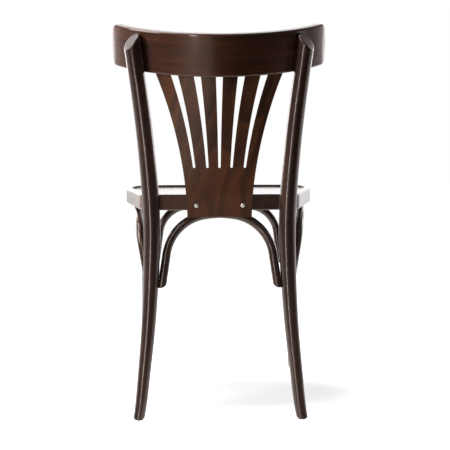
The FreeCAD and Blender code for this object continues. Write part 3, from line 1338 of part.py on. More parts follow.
rear_cope = swept_rod("rear_cope", REAR_WAIST, [REAR_FOOT], "Sizes.joint_gap")
front_cope = swept_rod("front_cope", FRONT_TOP, [FRONT_FOOT], "Sizes.joint_gap")
crown_cutter = doc.addObject("Part::Box", "crown_cutter")
for axis, length in (("Length", "Sizes.seat_width"), ("Width", "Sizes.seat_depth"), ("Height", "Sizes.ring_height")):
    crown_cutter.setExpression(axis, length)
placed(crown_cutter, V(*sizes_of("-Sizes.seat_width / 2", "-Sizes.seat_depth / 2", RING_BOTTOM)))

rear_arch_tools = [crown_cutter, rear_crown_screw.hole] + rear_crown_screw.sink
rear_end_waste = rear_curve.end_waste("rear_arch_end_waste", True)
for tool in [rear_cope, rear_end_waste, rear_end_screw.hole] + rear_end_screw.sink:
    rear_arch_tools += pair(tool)
finish(cut("rear_arch", rear_curve.rod("rear_arch_rod"), rear_arch_tools), "rear_arch")
front_arch_tools = [crown_cutter, front_crown_screw.hole] + front_crown_screw.sink
front_end_waste = front_curve.end_waste("front_arch_end_waste", True)
for tool in [front_cope, front_end_waste, front_end_screw.hole] + front_end_screw.sink:
    front_arch_tools += pair(tool)
finish(cut("front_arch", front_curve.rod("front_arch_rod"), front_arch_tools), "front_arch")
side_arch_tools = [crown_cutter, rear_cope, front_cope, side_curve.end_waste("side_arch_rear_waste", True),
                   side_curve.end_waste("side_arch_front_waste", False)]
for screw in (side_crown_screw, side_rear_screw, side_front_screw):
    side_arch_tools += [screw.hole] + screw.sink
finish_pair(cut("side_arch", side_curve.rod("side_arch_rod"), side_arch_tools), "side_arch")

finish(group("splat_screw_group", pair(splat_screw_body)), "splat_screws")
finish(group("bolt_group", pair(bolt)), "ring_bolts")
finish(group("washer_group", pair(washer)), "ring_bolt_washers")
finish(group("nut_group", pair(insert_nut)), "leg_insert_nuts")
finish(group("dowel_group", pair(low_dowel) + pair(high_dowel)), "rail_dowels")
end_screws = []
for screw in (rear_end_screw, front_end_screw, side_rear_screw, side_front_screw):
    end_screws += pair(screw.solid)
finish(group("end_screw_group", end_screws), "arch_end_screws")
crown_screws = [rear_crown_screw.solid, front_crown_screw.solid] + pair(side_crown_screw.solid)
finish(group("crown_screw_group", crown_screws), "arch_crown_screws")
finish_pair(rear_glide, "glide_rear")
finish_pair(front_glide, "glide_front")
doc.recompute()


# Checks and export

faults = [f"{obj.Label} {obj.State}" for obj in doc.Objects if {"Invalid", "Error"} & set(obj.State)]
faults += [f"{piece.Label} shape" for piece in pieces if piece.Shape.isNull() or not piece.Shape.isValid()]
print("faults:", faults or "none")
if not faults:
    os.makedirs("parts", exist_ok=True)
    for piece in pieces:
        piece.Shape.exportStep(f"parts/{piece.Label}.step")
whole = FreeCAD.BoundBox()
for piece in pieces:
    box = piece.Shape.optimalBoundingBox(True, False)
    whole.add(box)
    print(f"{piece.Label}: {len(piece.Shape.Solids)} solids, {piece.Shape.Volume / 1000:.1f} cm3, "
          f"X {box.XMin:.1f} {box.XMax:.1f}, Y {box.YMin:.1f} {box.YMax:.1f}, Z {box.ZMin:.1f} {box.ZMax:.1f}")
print(f"whole: {whole.XLength:.1f} x {whole.YLength:.1f} x {whole.ZLength:.1f}, "
      f"Y {whole.YMin:.1f} {whole.YMax:.1f}, Z {whole.ZMin:.1f}")
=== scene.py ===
# %% [markdown]
# # A bentwood bistro chair, seen from behind
# The chair is steam-bent beech, stained dark walnut and sprayed with a glossy lacquer.
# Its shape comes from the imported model, which is loaded as a fixed frame.
# This file gives that frame its finishes, its light and its camera.

# %% Load the frame
import bpy
import math
from mathutils import Matrix, Vector


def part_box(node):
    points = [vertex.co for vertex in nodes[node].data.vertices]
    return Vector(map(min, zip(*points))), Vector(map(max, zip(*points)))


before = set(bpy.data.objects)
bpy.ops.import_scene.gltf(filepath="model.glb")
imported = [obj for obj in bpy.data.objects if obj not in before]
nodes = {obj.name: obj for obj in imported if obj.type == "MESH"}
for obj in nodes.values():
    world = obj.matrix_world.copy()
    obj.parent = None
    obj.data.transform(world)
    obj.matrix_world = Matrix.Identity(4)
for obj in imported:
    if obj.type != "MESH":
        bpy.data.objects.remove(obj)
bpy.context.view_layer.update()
print("nodes:", sorted(nodes))

# %% [markdown]
# The finishes need to know where the pieces are, because the grain of bent wood follows the bend.
# The places could be typed in as numbers, but they are measured on the frame.
# So they stay right if the model is packed again.

# %% Measure the frame
def corners_of(node):
    """A piece's lowest and highest corners."""
    low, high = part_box(node)
    return Vector(low), Vector(high)


def centre_of(node):
    low, high = corners_of(node)
    return (low + high) / 2


SEAT_CENTRE = centre_of("seat_ring")
print("seat centre:", SEAT_CENTRE)

# %% [markdown]
# Materials are graphs of nodes, and long graphs of arithmetic are hard to read when each node is added by hand.
# A small class wraps one output socket, so that an ordinary Python expression adds the Math nodes it needs.

# %% Sockets that can be added and multiplied
class Signal:
    """One output socket of a graph of nodes."""

    def __init__(self, graph, socket):
        self.graph = graph
        self.socket = socket

    def __add__(self, other):
        return self.graph.math("ADD", self, other)

    def __radd__(self, other):
        return self.graph.math("ADD", other, self)

    def __sub__(self, other):
        return self.graph.math("SUBTRACT", self, other)

    def __rsub__(self, other):
        return self.graph.math("SUBTRACT", other, self)

    def __mul__(self, other):
        return self.graph.math("MULTIPLY", self, other)

    def __rmul__(self, other):
        return self.graph.math("MULTIPLY", other, self)

    def __truediv__(self, other):
        return self.graph.math("DIVIDE", self, other)

    def __pow__(self, other):
        return self.graph.math("POWER", self, other)

    def between(self, low, high):
        """0 below low, 1 above high and smooth between them."""
        return self.graph.add("ShaderNodeMapRange", {"interpolation_type": "SMOOTHSTEP"},
                              {"Value": self, "From Min": low, "From Max": high})


print("sockets can be used in expressions")

# %% [markdown]
# Every node comes from one method, which adds it, sets it up and links it.
# A Mix node gives its sockets for numbers and for colours the same names, so those are picked by their number.

# %% One way to add a node
MIX_AMOUNT, MIX_FIRST_COLOUR, MIX_SECOND_COLOUR, MIX_COLOUR_RESULT = 0, 6, 7, 2


class Graph:
    """A graph of nodes, whose arithmetic is written with signals."""

    def __init__(self, tree):
        self.tree = tree

    def add(self, kind, settings=None, values=(), output=0):
        """Adds a node, sets it up, feeds its inputs numbers or links, and returns one output or several."""
        node = self.tree.nodes.new(kind)
        for key, value in (settings or {}).items():
            setattr(node, key, value)
        entries = values.items() if isinstance(values, dict) else enumerate(values)
        for key, value in entries:
            self.feed(node.inputs[key], value)
        if isinstance(output, tuple):
            return tuple(Signal(self, node.outputs[name]) for name in output)
        return Signal(self, node.outputs[output])

    def feed(self, socket, value):
        if isinstance(value, Signal):
            self.tree.links.new(value.socket, socket)
        else:
            socket.default_value = value

    def math(self, operation, *values):
        return self.add("ShaderNodeMath", {"operation": operation}, values)

    def vector(self, x, y, z):
        return self.add("ShaderNodeCombineXYZ", {}, [x, y, z])

    def noise(self, vector, scale, detail=2.0, roughness=0.5, distortion=0.0):
        """A noise from 0 to 1, whose scale is its number of grains in a metre of the vector."""
        return self.add("ShaderNodeTexNoise", {}, {"Vector": vector, "Scale": scale, "Detail": detail,
                                                   "Roughness": roughness, "Distortion": distortion}, "Fac")

    def mix(self, amount, first, second):
        """A mix of two colours, which is the first one where the amount is 0."""
        return self.add("ShaderNodeMix", {"data_type": "RGBA"},
                        {MIX_AMOUNT: amount, MIX_FIRST_COLOUR: first, MIX_SECOND_COLOUR: second},
                        MIX_COLOUR_RESULT)


print("nodes are added by one method")

# %% [markdown]
# A finish is a material with its shader and the place of the shaded point at hand.
# The place is read in the piece's own coordinates, which are metres from the chair's origin,
# so a pattern stays on its piece when the piece is seen from another side.

# %% A finish
class Finish(Graph):
    """A new material's graph."""

    def __init__(self, name):
        self.material = bpy.data.materials.new(name)
        self.material.use_nodes = True
        super().__init__(self.material.node_tree)
        self.shader = self.tree.nodes["Principled BSDF"]
        self.place = self.add("ShaderNodeTexCoord", output="Object")
        self.x, self.y, self.z = self.add("ShaderNodeSeparateXYZ", {}, [self.place], output=("X", "Y", "Z"))

    def surface(self, **values):
        """Feeds the shader's sockets, whose names are written with underscores for spaces."""
        for name, value in values.items():
            self.feed(self.shader.inputs[name.replace("_", " ")], value)

    def bump(self, height, relief):
        """Tilts the surface as a relief does, whose depth in metres belongs to a height of 1."""
        self.surface(Normal=self.add("ShaderNodeBump", {}, {"Distance": relief, "Height": height}, "Normal"))


print("pieces that need a finish:", len(nodes))

# %% [markdown]
# Dark walnut stain sinks deeper into the open early wood than into the dense late wood.
# Under it beech keeps two marks: long faint streaks along the fibres, and short dark flecks where its rays end.
# A picture of wood could be wrapped round each rod, but its seams would show on a bend.
# A noise that is drawn out along the fibres has no seams, and it never repeats.

# %% Stained beech
STAIN_DEEP = (0.0105, 0.0062, 0.0047, 1)
STAIN_MIDDLE = (0.027, 0.0138, 0.0098, 1)
STAIN_THIN = (0.066, 0.030, 0.0185, 1)
WALNUT_STAIN = (STAIN_DEEP, STAIN_MIDDLE, STAIN_THIN)
BAND_SCALE = 62.0
STREAK_SCALE = 540.0
PORE_SCALE = 1900.0
FLECK_SCALE = 1250.0
CLOUD_SCALE = 7.0
STREAK_PACE = 0.035
PORE_PACE = 0.09
FLECK_PACE = 0.22
OPEN_PORES = (0.62, 0.8)
DARK_FLECKS = (0.67, 0.76)
BEECH_TONES = (0.36, 0.74)


def drawn_out(finish, along, across, depth, pace):
    """A place for a noise whose grains are drawn out along the fibres, ten times where the pace is 0.1."""
    return finish.vector(across, depth, along * pace)


def stain_from(finish, tone, middle_by, thin_from, dark_marks, stains):
    """Deep stain at a tone of 0, thin stain at 1, the middle one between them, and deep stain in dark marks."""
    deep, middle, thin = stains
    stain = finish.mix(tone.between(0.0, middle_by), deep, middle)
    stain = finish.mix(tone.between(thin_from, 1.0), stain, thin)
    return finish.mix(dark_marks, stain, deep)


def stained_beech(finish, along, across, depth, stains=WALNUT_STAIN):
    """The stain, streaks and pores of a piece, from a way along its fibres and two ways across them."""
    fibres = drawn_out(finish, along, across, depth, STREAK_PACE)
    bands = finish.noise(fibres, BAND_SCALE, roughness=0.55, distortion=0.7)
    streaks = finish.noise(fibres, STREAK_SCALE, detail=3.0, roughness=0.62)
    pores = finish.noise(drawn_out(finish, along, across, depth, PORE_PACE), PORE_SCALE, detail=1.0)
    specks = finish.noise(drawn_out(finish, along, across, depth, FLECK_PACE), FLECK_SCALE, detail=0.0)
    clouds = finish.noise(finish.place, CLOUD_SCALE)
    tone = (bands * 0.42 + streaks * 0.40 + clouds * 0.28).between(*BEECH_TONES)
    dark_marks = specks.between(*DARK_FLECKS) * 0.55 + pores.between(*OPEN_PORES) * 0.35
    return stain_from(finish, tone, 0.55, 0.5, dark_marks, stains), streaks, pores


print("stain tones:", STAIN_DEEP[:3], STAIN_MIDDLE[:3], STAIN_THIN[:3])

# %% [markdown]
# The lacquer over the stain is thin and hard, so it is a coat of its own and not a part of the colour.
# It has the faint ripple of a sprayed coat, and the streaks and pores show a little through its level.
# The wood under it has a softer sheen, duller in patches that are handled, and warm from the stain around it.

# %% Gloss lacquer
LACQUER_WEIGHT = 0.9
LACQUER_ROUGHNESS = 0.13
LACQUER_INDEX = 1.5
LACQUER_RELIEF = 0.00003
WOOD_ROUGHNESS = 0.27
WOOD_SHEEN = 0.45
FIBRE_GLOW = (1.0, 0.50, 0.34, 1)
RIPPLE_SCALE = 150.0
HANDLED_SCALE = 11.0


def lacquered(finish, colour, streaks, pores):
    """Gives a finish its stain, the wood's own sheen and the glossy coat over it."""
    ripple = finish.noise(finish.place, RIPPLE_SCALE)
    handled = finish.noise(finish.place, HANDLED_SCALE, detail=3.0, roughness=0.6)
    finish.surface(Base_Color=colour, Roughness=WOOD_ROUGHNESS + handled * 0.16 + pores * 0.06,
                   Coat_Weight=LACQUER_WEIGHT, Coat_Roughness=LACQUER_ROUGHNESS, Coat_IOR=LACQUER_INDEX,
                   Specular_IOR_Level=WOOD_SHEEN, Specular_Tint=FIBRE_GLOW)
    finish.bump(streaks * 0.5 + pores * 0.4 + ripple * 0.3, LACQUER_RELIEF)


print("lacquer: weight", LACQUER_WEIGHT, "roughness", LACQUER_ROUGHNESS)

# %% [markdown]
# The legs are straight-grained rods, so their fibres run up and down.
# A small drift sideways keeps the streaks from being perfectly vertical.
# Each leg comes from another place in the tree, so its pattern is moved along, and no two legs look alike.

# %% The legs' finish
DRIFT_SCALE = 3.0
DRIFT = 0.02
SIDE_SHIFT = 3.1
FRONT_SHIFT = 1.7


def leg_finish(name, side, front):
    finish = Finish(name)
    drift = finish.noise(finish.vector(0.0, 0.0, finish.z), DRIFT_SCALE, detail=1.0) * DRIFT
    along = finish.z + SIDE_SHIFT * side + FRONT_SHIFT * front
    lacquered(finish, *stained_beech(finish, along, finish.x + drift, finish.y))
    return finish.material


def dress(node, material):
    nodes[node].data.materials.clear()
    nodes[node].data.materials.append(material)
    print(node, "wears", material.name)


for side, hand in ((1, "left"), (-1, "right")):
    for front, end in ((0, "rear"), (1, "front")):
        dress(f"{end}_leg_{hand}", leg_finish(f"leg_lacquer_{end}_{hand}", side, front))

# %% [markdown]
# An arch, the seat ring and the crest rail are bent, and their fibres follow the bend.
# An angle about the middle of the bend, times its radius, measures the way along the fibres.
# One round bend stands for both corners of an arch, because its grain is too fine to tell them apart.

# %% The arches' finish
ARCH_BEND = 0.15
ARCH_MIDDLE_RISE = 0.035
ARCH_MIDDLE_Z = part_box("rear_arch")[0][2] + ARCH_MIDDLE_RISE


def round_bend(finish, first, second, radius):
    """The way along a bend and the distance from its middle, from two coordinates that start at its middle."""
    along = finish.math("ARCTAN2", first, second) * radius
    reach = (first * first + second * second) ** 0.5
    return along, reach


def arch_finish(name, crosswise, middle):
    """The finish of an arch that runs crosswise, or else from front to back, about a middle on its run."""
    finish = Finish(name)
    run, depth = (finish.x, finish.y) if crosswise else (finish.y, finish.x)
    along, reach = round_bend(finish, run - middle, finish.z - ARCH_MIDDLE_Z, ARCH_BEND)
    lacquered(finish, *stained_beech(finish, along, reach, depth))
    return finish.material


for end in ("rear", "front"):
    dress(f"{end}_arch", arch_finish(f"{end}_arch_lacquer", crosswise=True, middle=0.0))
for hand in ("left", "right"):
    middle = centre_of(f"side_arch_{hand}").y
    dress(f"side_arch_{hand}", arch_finish(f"side_arch_lacquer_{hand}", crosswise=False, middle=middle))

# %% [markdown]
# The seat ring is bent round the seat, so its fibres are measured about the seat's middle.
# Its left corner at the back is painted paler as a painted highlight, and more so along its paler streaks.

# %% The seat ring's finish
RING_BEND = 0.19
HIGHLIGHT_CORNER_X = (0.02, 0.11)
HIGHLIGHT_CORNER_Y = (0.05, 0.12)
HIGHLIGHT_STREAKS = (0.35, 0.6)
PAINTED_HIGHLIGHT_BEECH = (0.19, 0.090, 0.060, 1)


def ring_finish():
    finish = Finish("ring_lacquer")
    back = finish.y - SEAT_CENTRE.y
    along, reach = round_bend(finish, finish.x - SEAT_CENTRE.x, back, RING_BEND)
    colour, streaks, pores = stained_beech(finish, along, reach, finish.z)
    # Painted highlight: the back left corner is mixed towards pale beech, more along its paler streaks.
    painted_highlight_corner = finish.x.between(*HIGHLIGHT_CORNER_X) * back.between(*HIGHLIGHT_CORNER_Y)
    colour = finish.mix(painted_highlight_corner * (0.45 + 0.5 * streaks.between(*HIGHLIGHT_STREAKS)), colour, PAINTED_HIGHLIGHT_BEECH)
    lacquered(finish, colour, streaks, pores)
    return finish.material


dress("seat_ring", ring_finish())

# %% [markdown]
# The crest rail leans back with its bend, so its coordinates are turned by that lean first.
# Its broad face shows the fibres best: long, fine and level, a little wavy.
# The board took a redder stain than the legs, and towards the right, as the camera sees it, it is darkened with
# painted shade for the side turned away from the key light.

# %% The crest rail's finish
RAIL_LEAN = math.radians(16)
RAIL_BEND = 0.262
RAIL_BACK_INSET = 0.022
RAIL_STAIN = ((0.024, 0.0066, 0.0032, 1), (0.060, 0.0160, 0.0066, 1), (0.118, 0.033, 0.0135, 1))
RAIL_WAVE_SCALE = 9.0
RAIL_WAVE = 0.012
SHADE_FADE_X = (-0.12, 0.10)
PAINTED_SHADE_DEPTH = 0.45
rail_low, rail_high = corners_of("crest_rail")
BEND_MIDDLE_Y = rail_high.y - RAIL_BEND * math.cos(RAIL_LEAN) - RAIL_BACK_INSET
BEND_MIDDLE_Z = rail_low.z + RAIL_BEND * math.sin(RAIL_LEAN)


def rail_finish():
    finish = Finish("rail_lacquer")
    back = finish.y - BEND_MIDDLE_Y
    rise = finish.z - BEND_MIDDLE_Z
    level_back = back * math.cos(RAIL_LEAN) - rise * math.sin(RAIL_LEAN)
    level_rise = back * math.sin(RAIL_LEAN) + rise * math.cos(RAIL_LEAN)
    along, reach = round_bend(finish, finish.x, level_back, RAIL_BEND)
    wave = finish.noise(finish.vector(along, 0.0, 0.0), RAIL_WAVE_SCALE, detail=1.0) * RAIL_WAVE
    colour, streaks, pores = stained_beech(finish, along, level_rise + wave, reach, RAIL_STAIN)
    # Painted shade: the right half of the rail is mixed towards the deep stain.
    painted_shade_right = 1.0 - finish.x.between(*SHADE_FADE_X)
    colour = finish.mix(painted_shade_right * PAINTED_SHADE_DEPTH, colour, STAIN_DEEP)
    lacquered(finish, colour, streaks, pores)
    return finish.material


dress("crest_rail", rail_finish())

# %% [markdown]
# The splat and the seat panel are beech plywood.
# Their outer veneers are cut round the log, so they show broad tongues of early and late wood.
# The tongues are steps of a noise that is stretched along the sheet and slants across it.
# Each step rises slowly through the early wood and falls back sharply, as a year's growth does.

# %% Rotary-cut veneer
WANDER_SCALE = 9.0
WANDER_PACE = 0.6
TONGUE_SCALE = 10.0
TONGUE_PACE = 0.26
TONGUE_SLICE = 3.0
GROWTH_YEARS = 8.0
SLOW_GROWTH = (0.0, 0.85)
WINTER = (0.86, 1.0)
VENEER_STREAK_SCALE = 620.0
VENEER_FLECK_SCALE = 1150.0
VENEER_STREAK_PACE = 0.04
VENEER_PORE_PACE = 0.1
VENEER_FLECK_PACE = 0.25
VENEER_DARK_FLECKS = (0.66, 0.75)
VENEER_TONES = (0.20, 0.98)


def veneer(finish, along, across, slant, stains):
    """The stain, streaks and pores of a sheet whose fibres run along the first coordinate, a little aslant."""
    sideways = across - along * slant
    wander = finish.noise(drawn_out(finish, along, sideways, 0.0, WANDER_PACE), WANDER_SCALE)
    height = finish.noise(drawn_out(finish, along, sideways, TONGUE_SLICE, TONGUE_PACE), TONGUE_SCALE,
                          detail=1.0, roughness=0.4) + wander * 0.30
    year = finish.math("FRACT", height * GROWTH_YEARS)
    tongues = year.between(*SLOW_GROWTH) * (1.0 - year.between(*WINTER))
    streaks = finish.noise(drawn_out(finish, along, sideways, 0.0, VENEER_STREAK_PACE), VENEER_STREAK_SCALE,
                           detail=3.0, roughness=0.62)
    pores = finish.noise(drawn_out(finish, along, sideways, 0.0, VENEER_PORE_PACE), PORE_SCALE, detail=1.0)
    specks = finish.noise(drawn_out(finish, along, sideways, 0.0, VENEER_FLECK_PACE), VENEER_FLECK_SCALE,
                          detail=0.0)
    tone = (tongues * 0.32 + wander * 0.48 + streaks * 0.42).between(*VENEER_TONES)
    dark_marks = specks.between(*VENEER_DARK_FLECKS) * 0.45 + pores.between(*OPEN_PORES) * 0.3
    return stain_from(finish, tone, 0.5, 0.45, dark_marks, stains), streaks, pores


print("veneer has", GROWTH_YEARS, "years of growth over the whole range of its noise")

# %% [markdown]
# The splat was stained a redder brown than the legs, and its foot is painted paler at the left, as painted
# light from the key light on that side.
# The seat panel wears the same walnut as the legs.

# %% The finishes of the splat and the seat panel
SPLAT_STAIN = ((0.034, 0.0150, 0.0088, 1), (0.078, 0.0300, 0.0148, 1), (0.155, 0.053, 0.0205, 1))
SPLAT_SLANT = -0.30
PANEL_SLANT = 0.1
LIT_FOOT_BEECH = (0.155, 0.062, 0.032, 1)
LIT_FOOT_X = (-0.06, 0.07)
LIT_FOOT_Z = (0.50, 0.60)


def splat_finish():
    finish = Finish("splat_lacquer")
    colour, streaks, pores = veneer(finish, finish.z, finish.x, SPLAT_SLANT, SPLAT_STAIN)
    # Painted light: the foot is mixed towards a paler brown at the left, where the key light falls.
    painted_light_foot = finish.x.between(*LIT_FOOT_X) * (1.0 - finish.z.between(*LIT_FOOT_Z))
    colour = finish.mix(painted_light_foot * 0.4, colour, LIT_FOOT_BEECH)
    lacquered(finish, colour, streaks, pores)
    return finish.material


def panel_finish():
    finish = Finish("panel_lacquer")
    lacquered(finish, *veneer(finish, finish.y, finish.x, PANEL_SLANT, WALNUT_STAIN))
    return finish.material


dress("back_splat", splat_finish())
dress("seat_panel", panel_finish())

# %% [markdown]
# The two screws at the splat's foot are bright nickel, a little scuffed by the driver.
# Fully metallic nickel would mirror the dark room, so it is only partly metallic, and stays pale.
# The hidden hardware is plain zinc, whose bloom makes it cloudy.

# %% Metal finishes
DARK_NICKEL = (0.93, 0.88, 0.79, 1)
LIGHT_NICKEL = (1.0, 0.97, 0.91, 1)
DARK_ZINC = (0.42, 0.41, 0.37, 1)
LIGHT_ZINC = (0.66, 0.66, 0.64, 1)


def nickel_finish():
    finish = Finish("bright_nickel")
    scuffs = finish.noise(finish.vector(finish.x, finish.y * 0.2, finish.z), scale=1400.0)
    finish.surface(Base_Color=finish.mix(scuffs, DARK_NICKEL, LIGHT_NICKEL), Metallic=0.45,
                   Roughness=0.38 + scuffs * 0.2)
    finish.bump(scuffs, relief=0.00003)
    return finish.material


def zinc_finish():
    finish = Finish("zinc_plate")
    bloom = finish.noise(finish.place, scale=300.0, detail=3.0, roughness=0.6)
    finish.surface(Base_Color=finish.mix(bloom, DARK_ZINC, LIGHT_ZINC), Metallic=1.0,
                   Roughness=0.28 + bloom * 0.2)
    finish.bump(bloom, relief=0.00004)
    return finish.material


dress("splat_screws", nickel_finish())
zinc = zinc_finish()
for node in ("ring_bolts", "ring_bolt_washers", "leg_insert_nuts", "arch_end_screws", "arch_crown_screws"):
    dress(node, zinc)

# %% [markdown]
# The dowels are beech that never met the stain, because glue holds better on bare wood.
# The glides are dark moulded plastic, with a fine grain from the mould and pale wear where they rub on a floor.

# %% Dowels and glides
DARK_BARE_BEECH = (0.46, 0.29, 0.16, 1)
LIGHT_BARE_BEECH = (0.70, 0.50, 0.32, 1)
GLIDE_BLACK = (0.022, 0.020, 0.019, 1)
WORN_GLIDE = (0.075, 0.070, 0.066, 1)


def bare_beech_finish():
    finish = Finish("bare_beech")
    fibres = finish.noise(finish.vector(finish.x * 0.1, finish.y * 0.1, finish.z), scale=900.0,
                          detail=3.0, roughness=0.6)
    finish.surface(Base_Color=finish.mix(fibres, DARK_BARE_BEECH, LIGHT_BARE_BEECH), Roughness=0.62)
    finish.bump(fibres, relief=0.00008)
    return finish.material


def glide_finish():
    finish = Finish("glide_plastic")
    grain = finish.noise(finish.place, scale=2200.0)
    wear = finish.noise(finish.place, scale=260.0, detail=3.0, roughness=0.6).between(0.5, 0.8)
    finish.surface(Base_Color=finish.mix(wear * 0.6, GLIDE_BLACK, WORN_GLIDE), Roughness=0.42 + grain * 0.2)
    finish.bump(grain, relief=0.00006)
    return finish.material


dress("rail_dowels", bare_beech_finish())
glide_plastic = glide_finish()
for node in nodes:
    if node.startswith("glide_"):
        dress(node, glide_plastic)

# %% [markdown]
# The photograph is a studio shot on white, and only one soft shadow is left on its floor.
# More light on the chair would bleach it, so the floor shines a little by itself where the camera looks.
# It shines less in an ellipse under the seat, which is a painted shadow there, and outside that ellipse it
# outshines every shadow.
# Gloss mirrors a floor that shines at another level, brighter far out at the right.

# %% The floor's paint
SHADOW_ASIDE = 0.075
SHADOW_HALF_WIDTH = 0.28
SHADOW_HALF_DEPTH = 0.16
SHADOW_EDGE = (0.5, 1.4)
SHADED_LIGHT = 0.43
PLAIN_LIGHT_MORE = 0.57
MIRRORED_LIGHT = 0.65
MIRRORED_RIGHT_MORE = 0.3
RIGHT_SIDE = (0.6, 1.4)
DARK_FLOOR = (0.79, 0.79, 0.79, 1)
LIGHT_FLOOR = (0.82, 0.82, 0.82, 1)
DUST_SCALE = 4.0


def floor_finish():
    finish = Finish("studio_floor_paint")
    camera_ray, glossy_ray, through_ray = finish.add(
        "ShaderNodeLightPath", output=("Is Camera Ray", "Is Glossy Ray", "Is Transmission Ray"))
    seen = finish.math("MINIMUM", finish.math("MAXIMUM", camera_ray + through_ray, 0.0), 1.0)
    aside = (finish.x + SHADOW_ASIDE) / SHADOW_HALF_WIDTH
    ahead = finish.y / SHADOW_HALF_DEPTH
    distance = (aside * aside + ahead * ahead) ** 0.5
    # Painted shadow: the floor's own glow is dimmer inside the ellipse under the seat.
    own_light = SHADED_LIGHT + distance.between(*SHADOW_EDGE) * PLAIN_LIGHT_MORE
    right_side = (0.0 - finish.x).between(*RIGHT_SIDE)
    light = seen * own_light + glossy_ray * (MIRRORED_LIGHT + right_side * MIRRORED_RIGHT_MORE)
    dust = finish.noise(finish.place, DUST_SCALE, detail=3.0)
    finish.surface(Base_Color=finish.mix(dust, DARK_FLOOR, LIGHT_FLOOR), Roughness=0.9, Specular_IOR_Level=0.0,
                   Emission_Color=finish.vector(light, light, light), Emission_Strength=1.0)
    return finish.material


print("the floor shines with", SHADED_LIGHT, "under the seat, and with", PLAIN_LIGHT_MORE, "more around it")

# %% [markdown]
# The floor could curve up behind the chair as a studio's backdrop does, but the world is white there already.
# So it is one large plane under the glides.
# It ends soon behind the camera's side of the chair, because gloss that leans down mirrors it.

# %% Floor
FLOOR_SIZE = 9.0
FLOOR_EDGE_Y = 0.7
bpy.ops.object.select_all(action="DESELECT")
bpy.ops.mesh.primitive_plane_add(size=FLOOR_SIZE, location=(0, FLOOR_EDGE_Y - FLOOR_SIZE / 2, 0))
floor = bpy.context.object
floor.name = "studio_floor"
bpy.ops.object.transform_apply(location=True)
floor.data.materials.append(floor_finish())
print("floor:", tuple(floor.dimensions))

# %% [markdown]
# The camera sees a white world, but gloss needs light and dark walls to mirror.
# A real room could be built round the chair, but a world that answers by direction is lighter and simpler.
# The world that gloss mirrors is white beyond the chair, grey at the left and nearly dark at the right.
# Beyond the chair it is brighter at the left, most of all high up, and the left post's cut mirrors that.
# High up at the right it is dimmer, so that the right post's cut stays darker.

# %% What gloss mirrors
BEYOND_CHAIR = (0.3, 0.95)
LEFT_HALF = (0.0, 0.16)
PAST_KEY = (0.42, 0.75)
OVER_WALL = (0.0, 0.35)
RIGHT_WALL_FOOT = (-0.25, 0.1)
HIGH_UP = (0.28, 0.42)
TO_ONE_SIDE = (0.12, 0.30)
LEFT_WALL = 0.16
LEFT_WALL_BY_KEY = 0.35
RIGHT_WALL = 0.18
DARK_ROOM = 0.02
WHITE_WALL = 1.4
LEFT_WINDOW = 0.8
HIGH_WINDOW = 2.2
RIGHT_DUSK = 1.15


def mirrored_room(sky):
    """The light that comes from each direction, whose x points to the left, y to the camera and z up."""
    direction = sky.add("ShaderNodeTexCoord", output="Generated")
    x, y, z = sky.add("ShaderNodeSeparateXYZ", {}, [direction], output=("X", "Y", "Z"))
    beyond_chair = (0.0 - y).between(*BEYOND_CHAIR)
    left_half = x.between(*LEFT_HALF)
    near_key = left_half * (1.0 - x.between(*PAST_KEY))
    below_key = 1.0 - z.between(*OVER_WALL)
    left_wall = left_half * below_key * (LEFT_WALL + near_key * LEFT_WALL_BY_KEY)
    right_wall = (1.0 - left_half) * z.between(*RIGHT_WALL_FOOT) * RIGHT_WALL
    near_side = left_wall + right_wall + DARK_ROOM
    high = z.between(*HIGH_UP)
    left_window = x.between(*TO_ONE_SIDE) * (LEFT_WINDOW + high * HIGH_WINDOW)
    right_dusk = (0.0 - x).between(*TO_ONE_SIDE) * high * RIGHT_DUSK
    white = WHITE_WALL + left_window - right_dusk
    return near_side + beyond_chair * (white - near_side)


print("gloss mirrors a wall of", WHITE_WALL, "beyond the chair")

# %% [markdown]
# The Light Path node tells a world's rays apart.
# The camera's own rays find plain white, glossy ones find the room, and all others find a dim even light.

# %% World
AMBIENT = 0.11
world = bpy.data.worlds.new("studio")
bpy.context.scene.world = world
world.use_nodes = True
sky = Graph(world.node_tree)
to_camera, to_gloss = sky.add("ShaderNodeLightPath", output=("Is Camera Ray", "Is Glossy Ray"))
room = to_gloss * mirrored_room(sky) + (1.0 - to_gloss) * AMBIENT
background = world.node_tree.nodes["Background"]
background.inputs["Color"].default_value = (1, 1, 1, 1)
sky.feed(background.inputs["Strength"], to_camera + (1.0 - to_camera) * room)
print("world: ambient", AMBIENT)

# %% [markdown]
# One large softbox stands to the left of the camera, so that the left half of the rail is lit.
# Another hangs high at the left of the seat and makes the shadow under it.
# Two more stand in front of the chair, one at each side.
# A tall strip light near the camera makes the thin line down each rod, and lights nothing else.

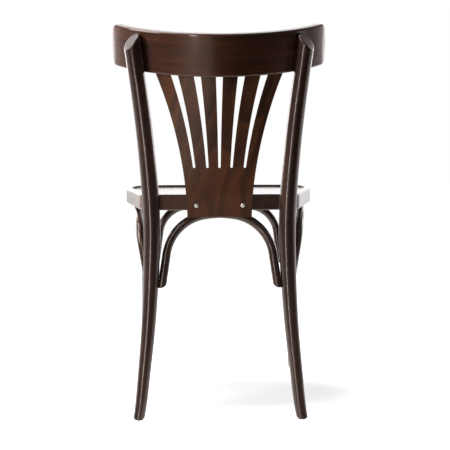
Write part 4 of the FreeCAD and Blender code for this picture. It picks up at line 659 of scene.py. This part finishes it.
# %% Lamps
LAMPS = {
    # name: place, target, width, height, brightness
    "key_softbox": ((1.75, 0.7, 1.6), (0, 0, 0.5), 1.1, 1.3, 8.4),
    "top_softbox": ((0.80, 0.0, 2.3), (0, 0, 0.4), 0.9, 0.9, 6.0),
    "left_softbox": ((1.9, -1.35, 1.15), (0, 0, 0.9), 1.1, 1.2, 5.6),
    "right_softbox": ((-1.9, -1.35, 1.15), (0, 0, 0.9), 1.1, 1.2, 4.2),
    "strip_light": ((0.76, 1.91, 1.0), (0, 0.2, 1.0), 0.14, 2.0, 15.0),
}


def softbox(name, place, target, width, height, brightness):
    """A rectangular lamp whose face looks as bright as its brightness says, where 1 is white."""
    lamp = bpy.data.lights.new(name, "AREA")
    lamp.shape = "RECTANGLE"
    lamp.size = width
    lamp.size_y = height
    lamp.energy = brightness * math.pi * width * height
    stand = bpy.data.objects.new(name, lamp)
    stand.location = place
    stand.rotation_euler = (Vector(target) - Vector(place)).to_track_quat("-Z", "Y").to_euler()
    bpy.context.scene.collection.objects.link(stand)
    print(name, "power", lamp.energy)


for name, sizes in LAMPS.items():
    softbox(name, *sizes)
bpy.data.objects["strip_light"].visible_diffuse = False

# %% [markdown]
# The camera stands behind the chair, a little above the seat, and looks slightly down.
# Its place was worked out from the seat's ellipse and from the symmetry of the chair.
# A constraint could aim it, but the picture is a little turned and rolled, so its angles are written out.

# %% Camera
CAMERA_DISTANCE = 2.3
CAMERA_HEIGHT = 0.5845
CAMERA_SIDE = 0.0187
LOOK_DOWN = math.radians(5.14)
LOOK_ASIDE = math.radians(0.817)
ROLL = math.radians(0.20)
FOCAL_LENGTH = 80.86
FILM_WIDTH = 36
camera_data = bpy.data.cameras.new("photo_camera")
camera_data.lens = FOCAL_LENGTH
camera_data.sensor_width = FILM_WIDTH
camera = bpy.data.objects.new("photo_camera", camera_data)
camera.location = (CAMERA_SIDE, SEAT_CENTRE.y + CAMERA_DISTANCE, CAMERA_HEIGHT)
level_turn = Matrix.Rotation(math.pi - LOOK_ASIDE, 3, "Z") @ Matrix.Rotation(math.pi / 2 - LOOK_DOWN, 3, "X")
camera.rotation_euler = (level_turn @ Matrix.Rotation(-ROLL, 3, "Z")).to_euler()
bpy.context.scene.collection.objects.link(camera)
bpy.context.scene.camera = camera
bpy.context.scene.view_settings.view_transform = "Standard"
print("camera:", tuple(camera.location))
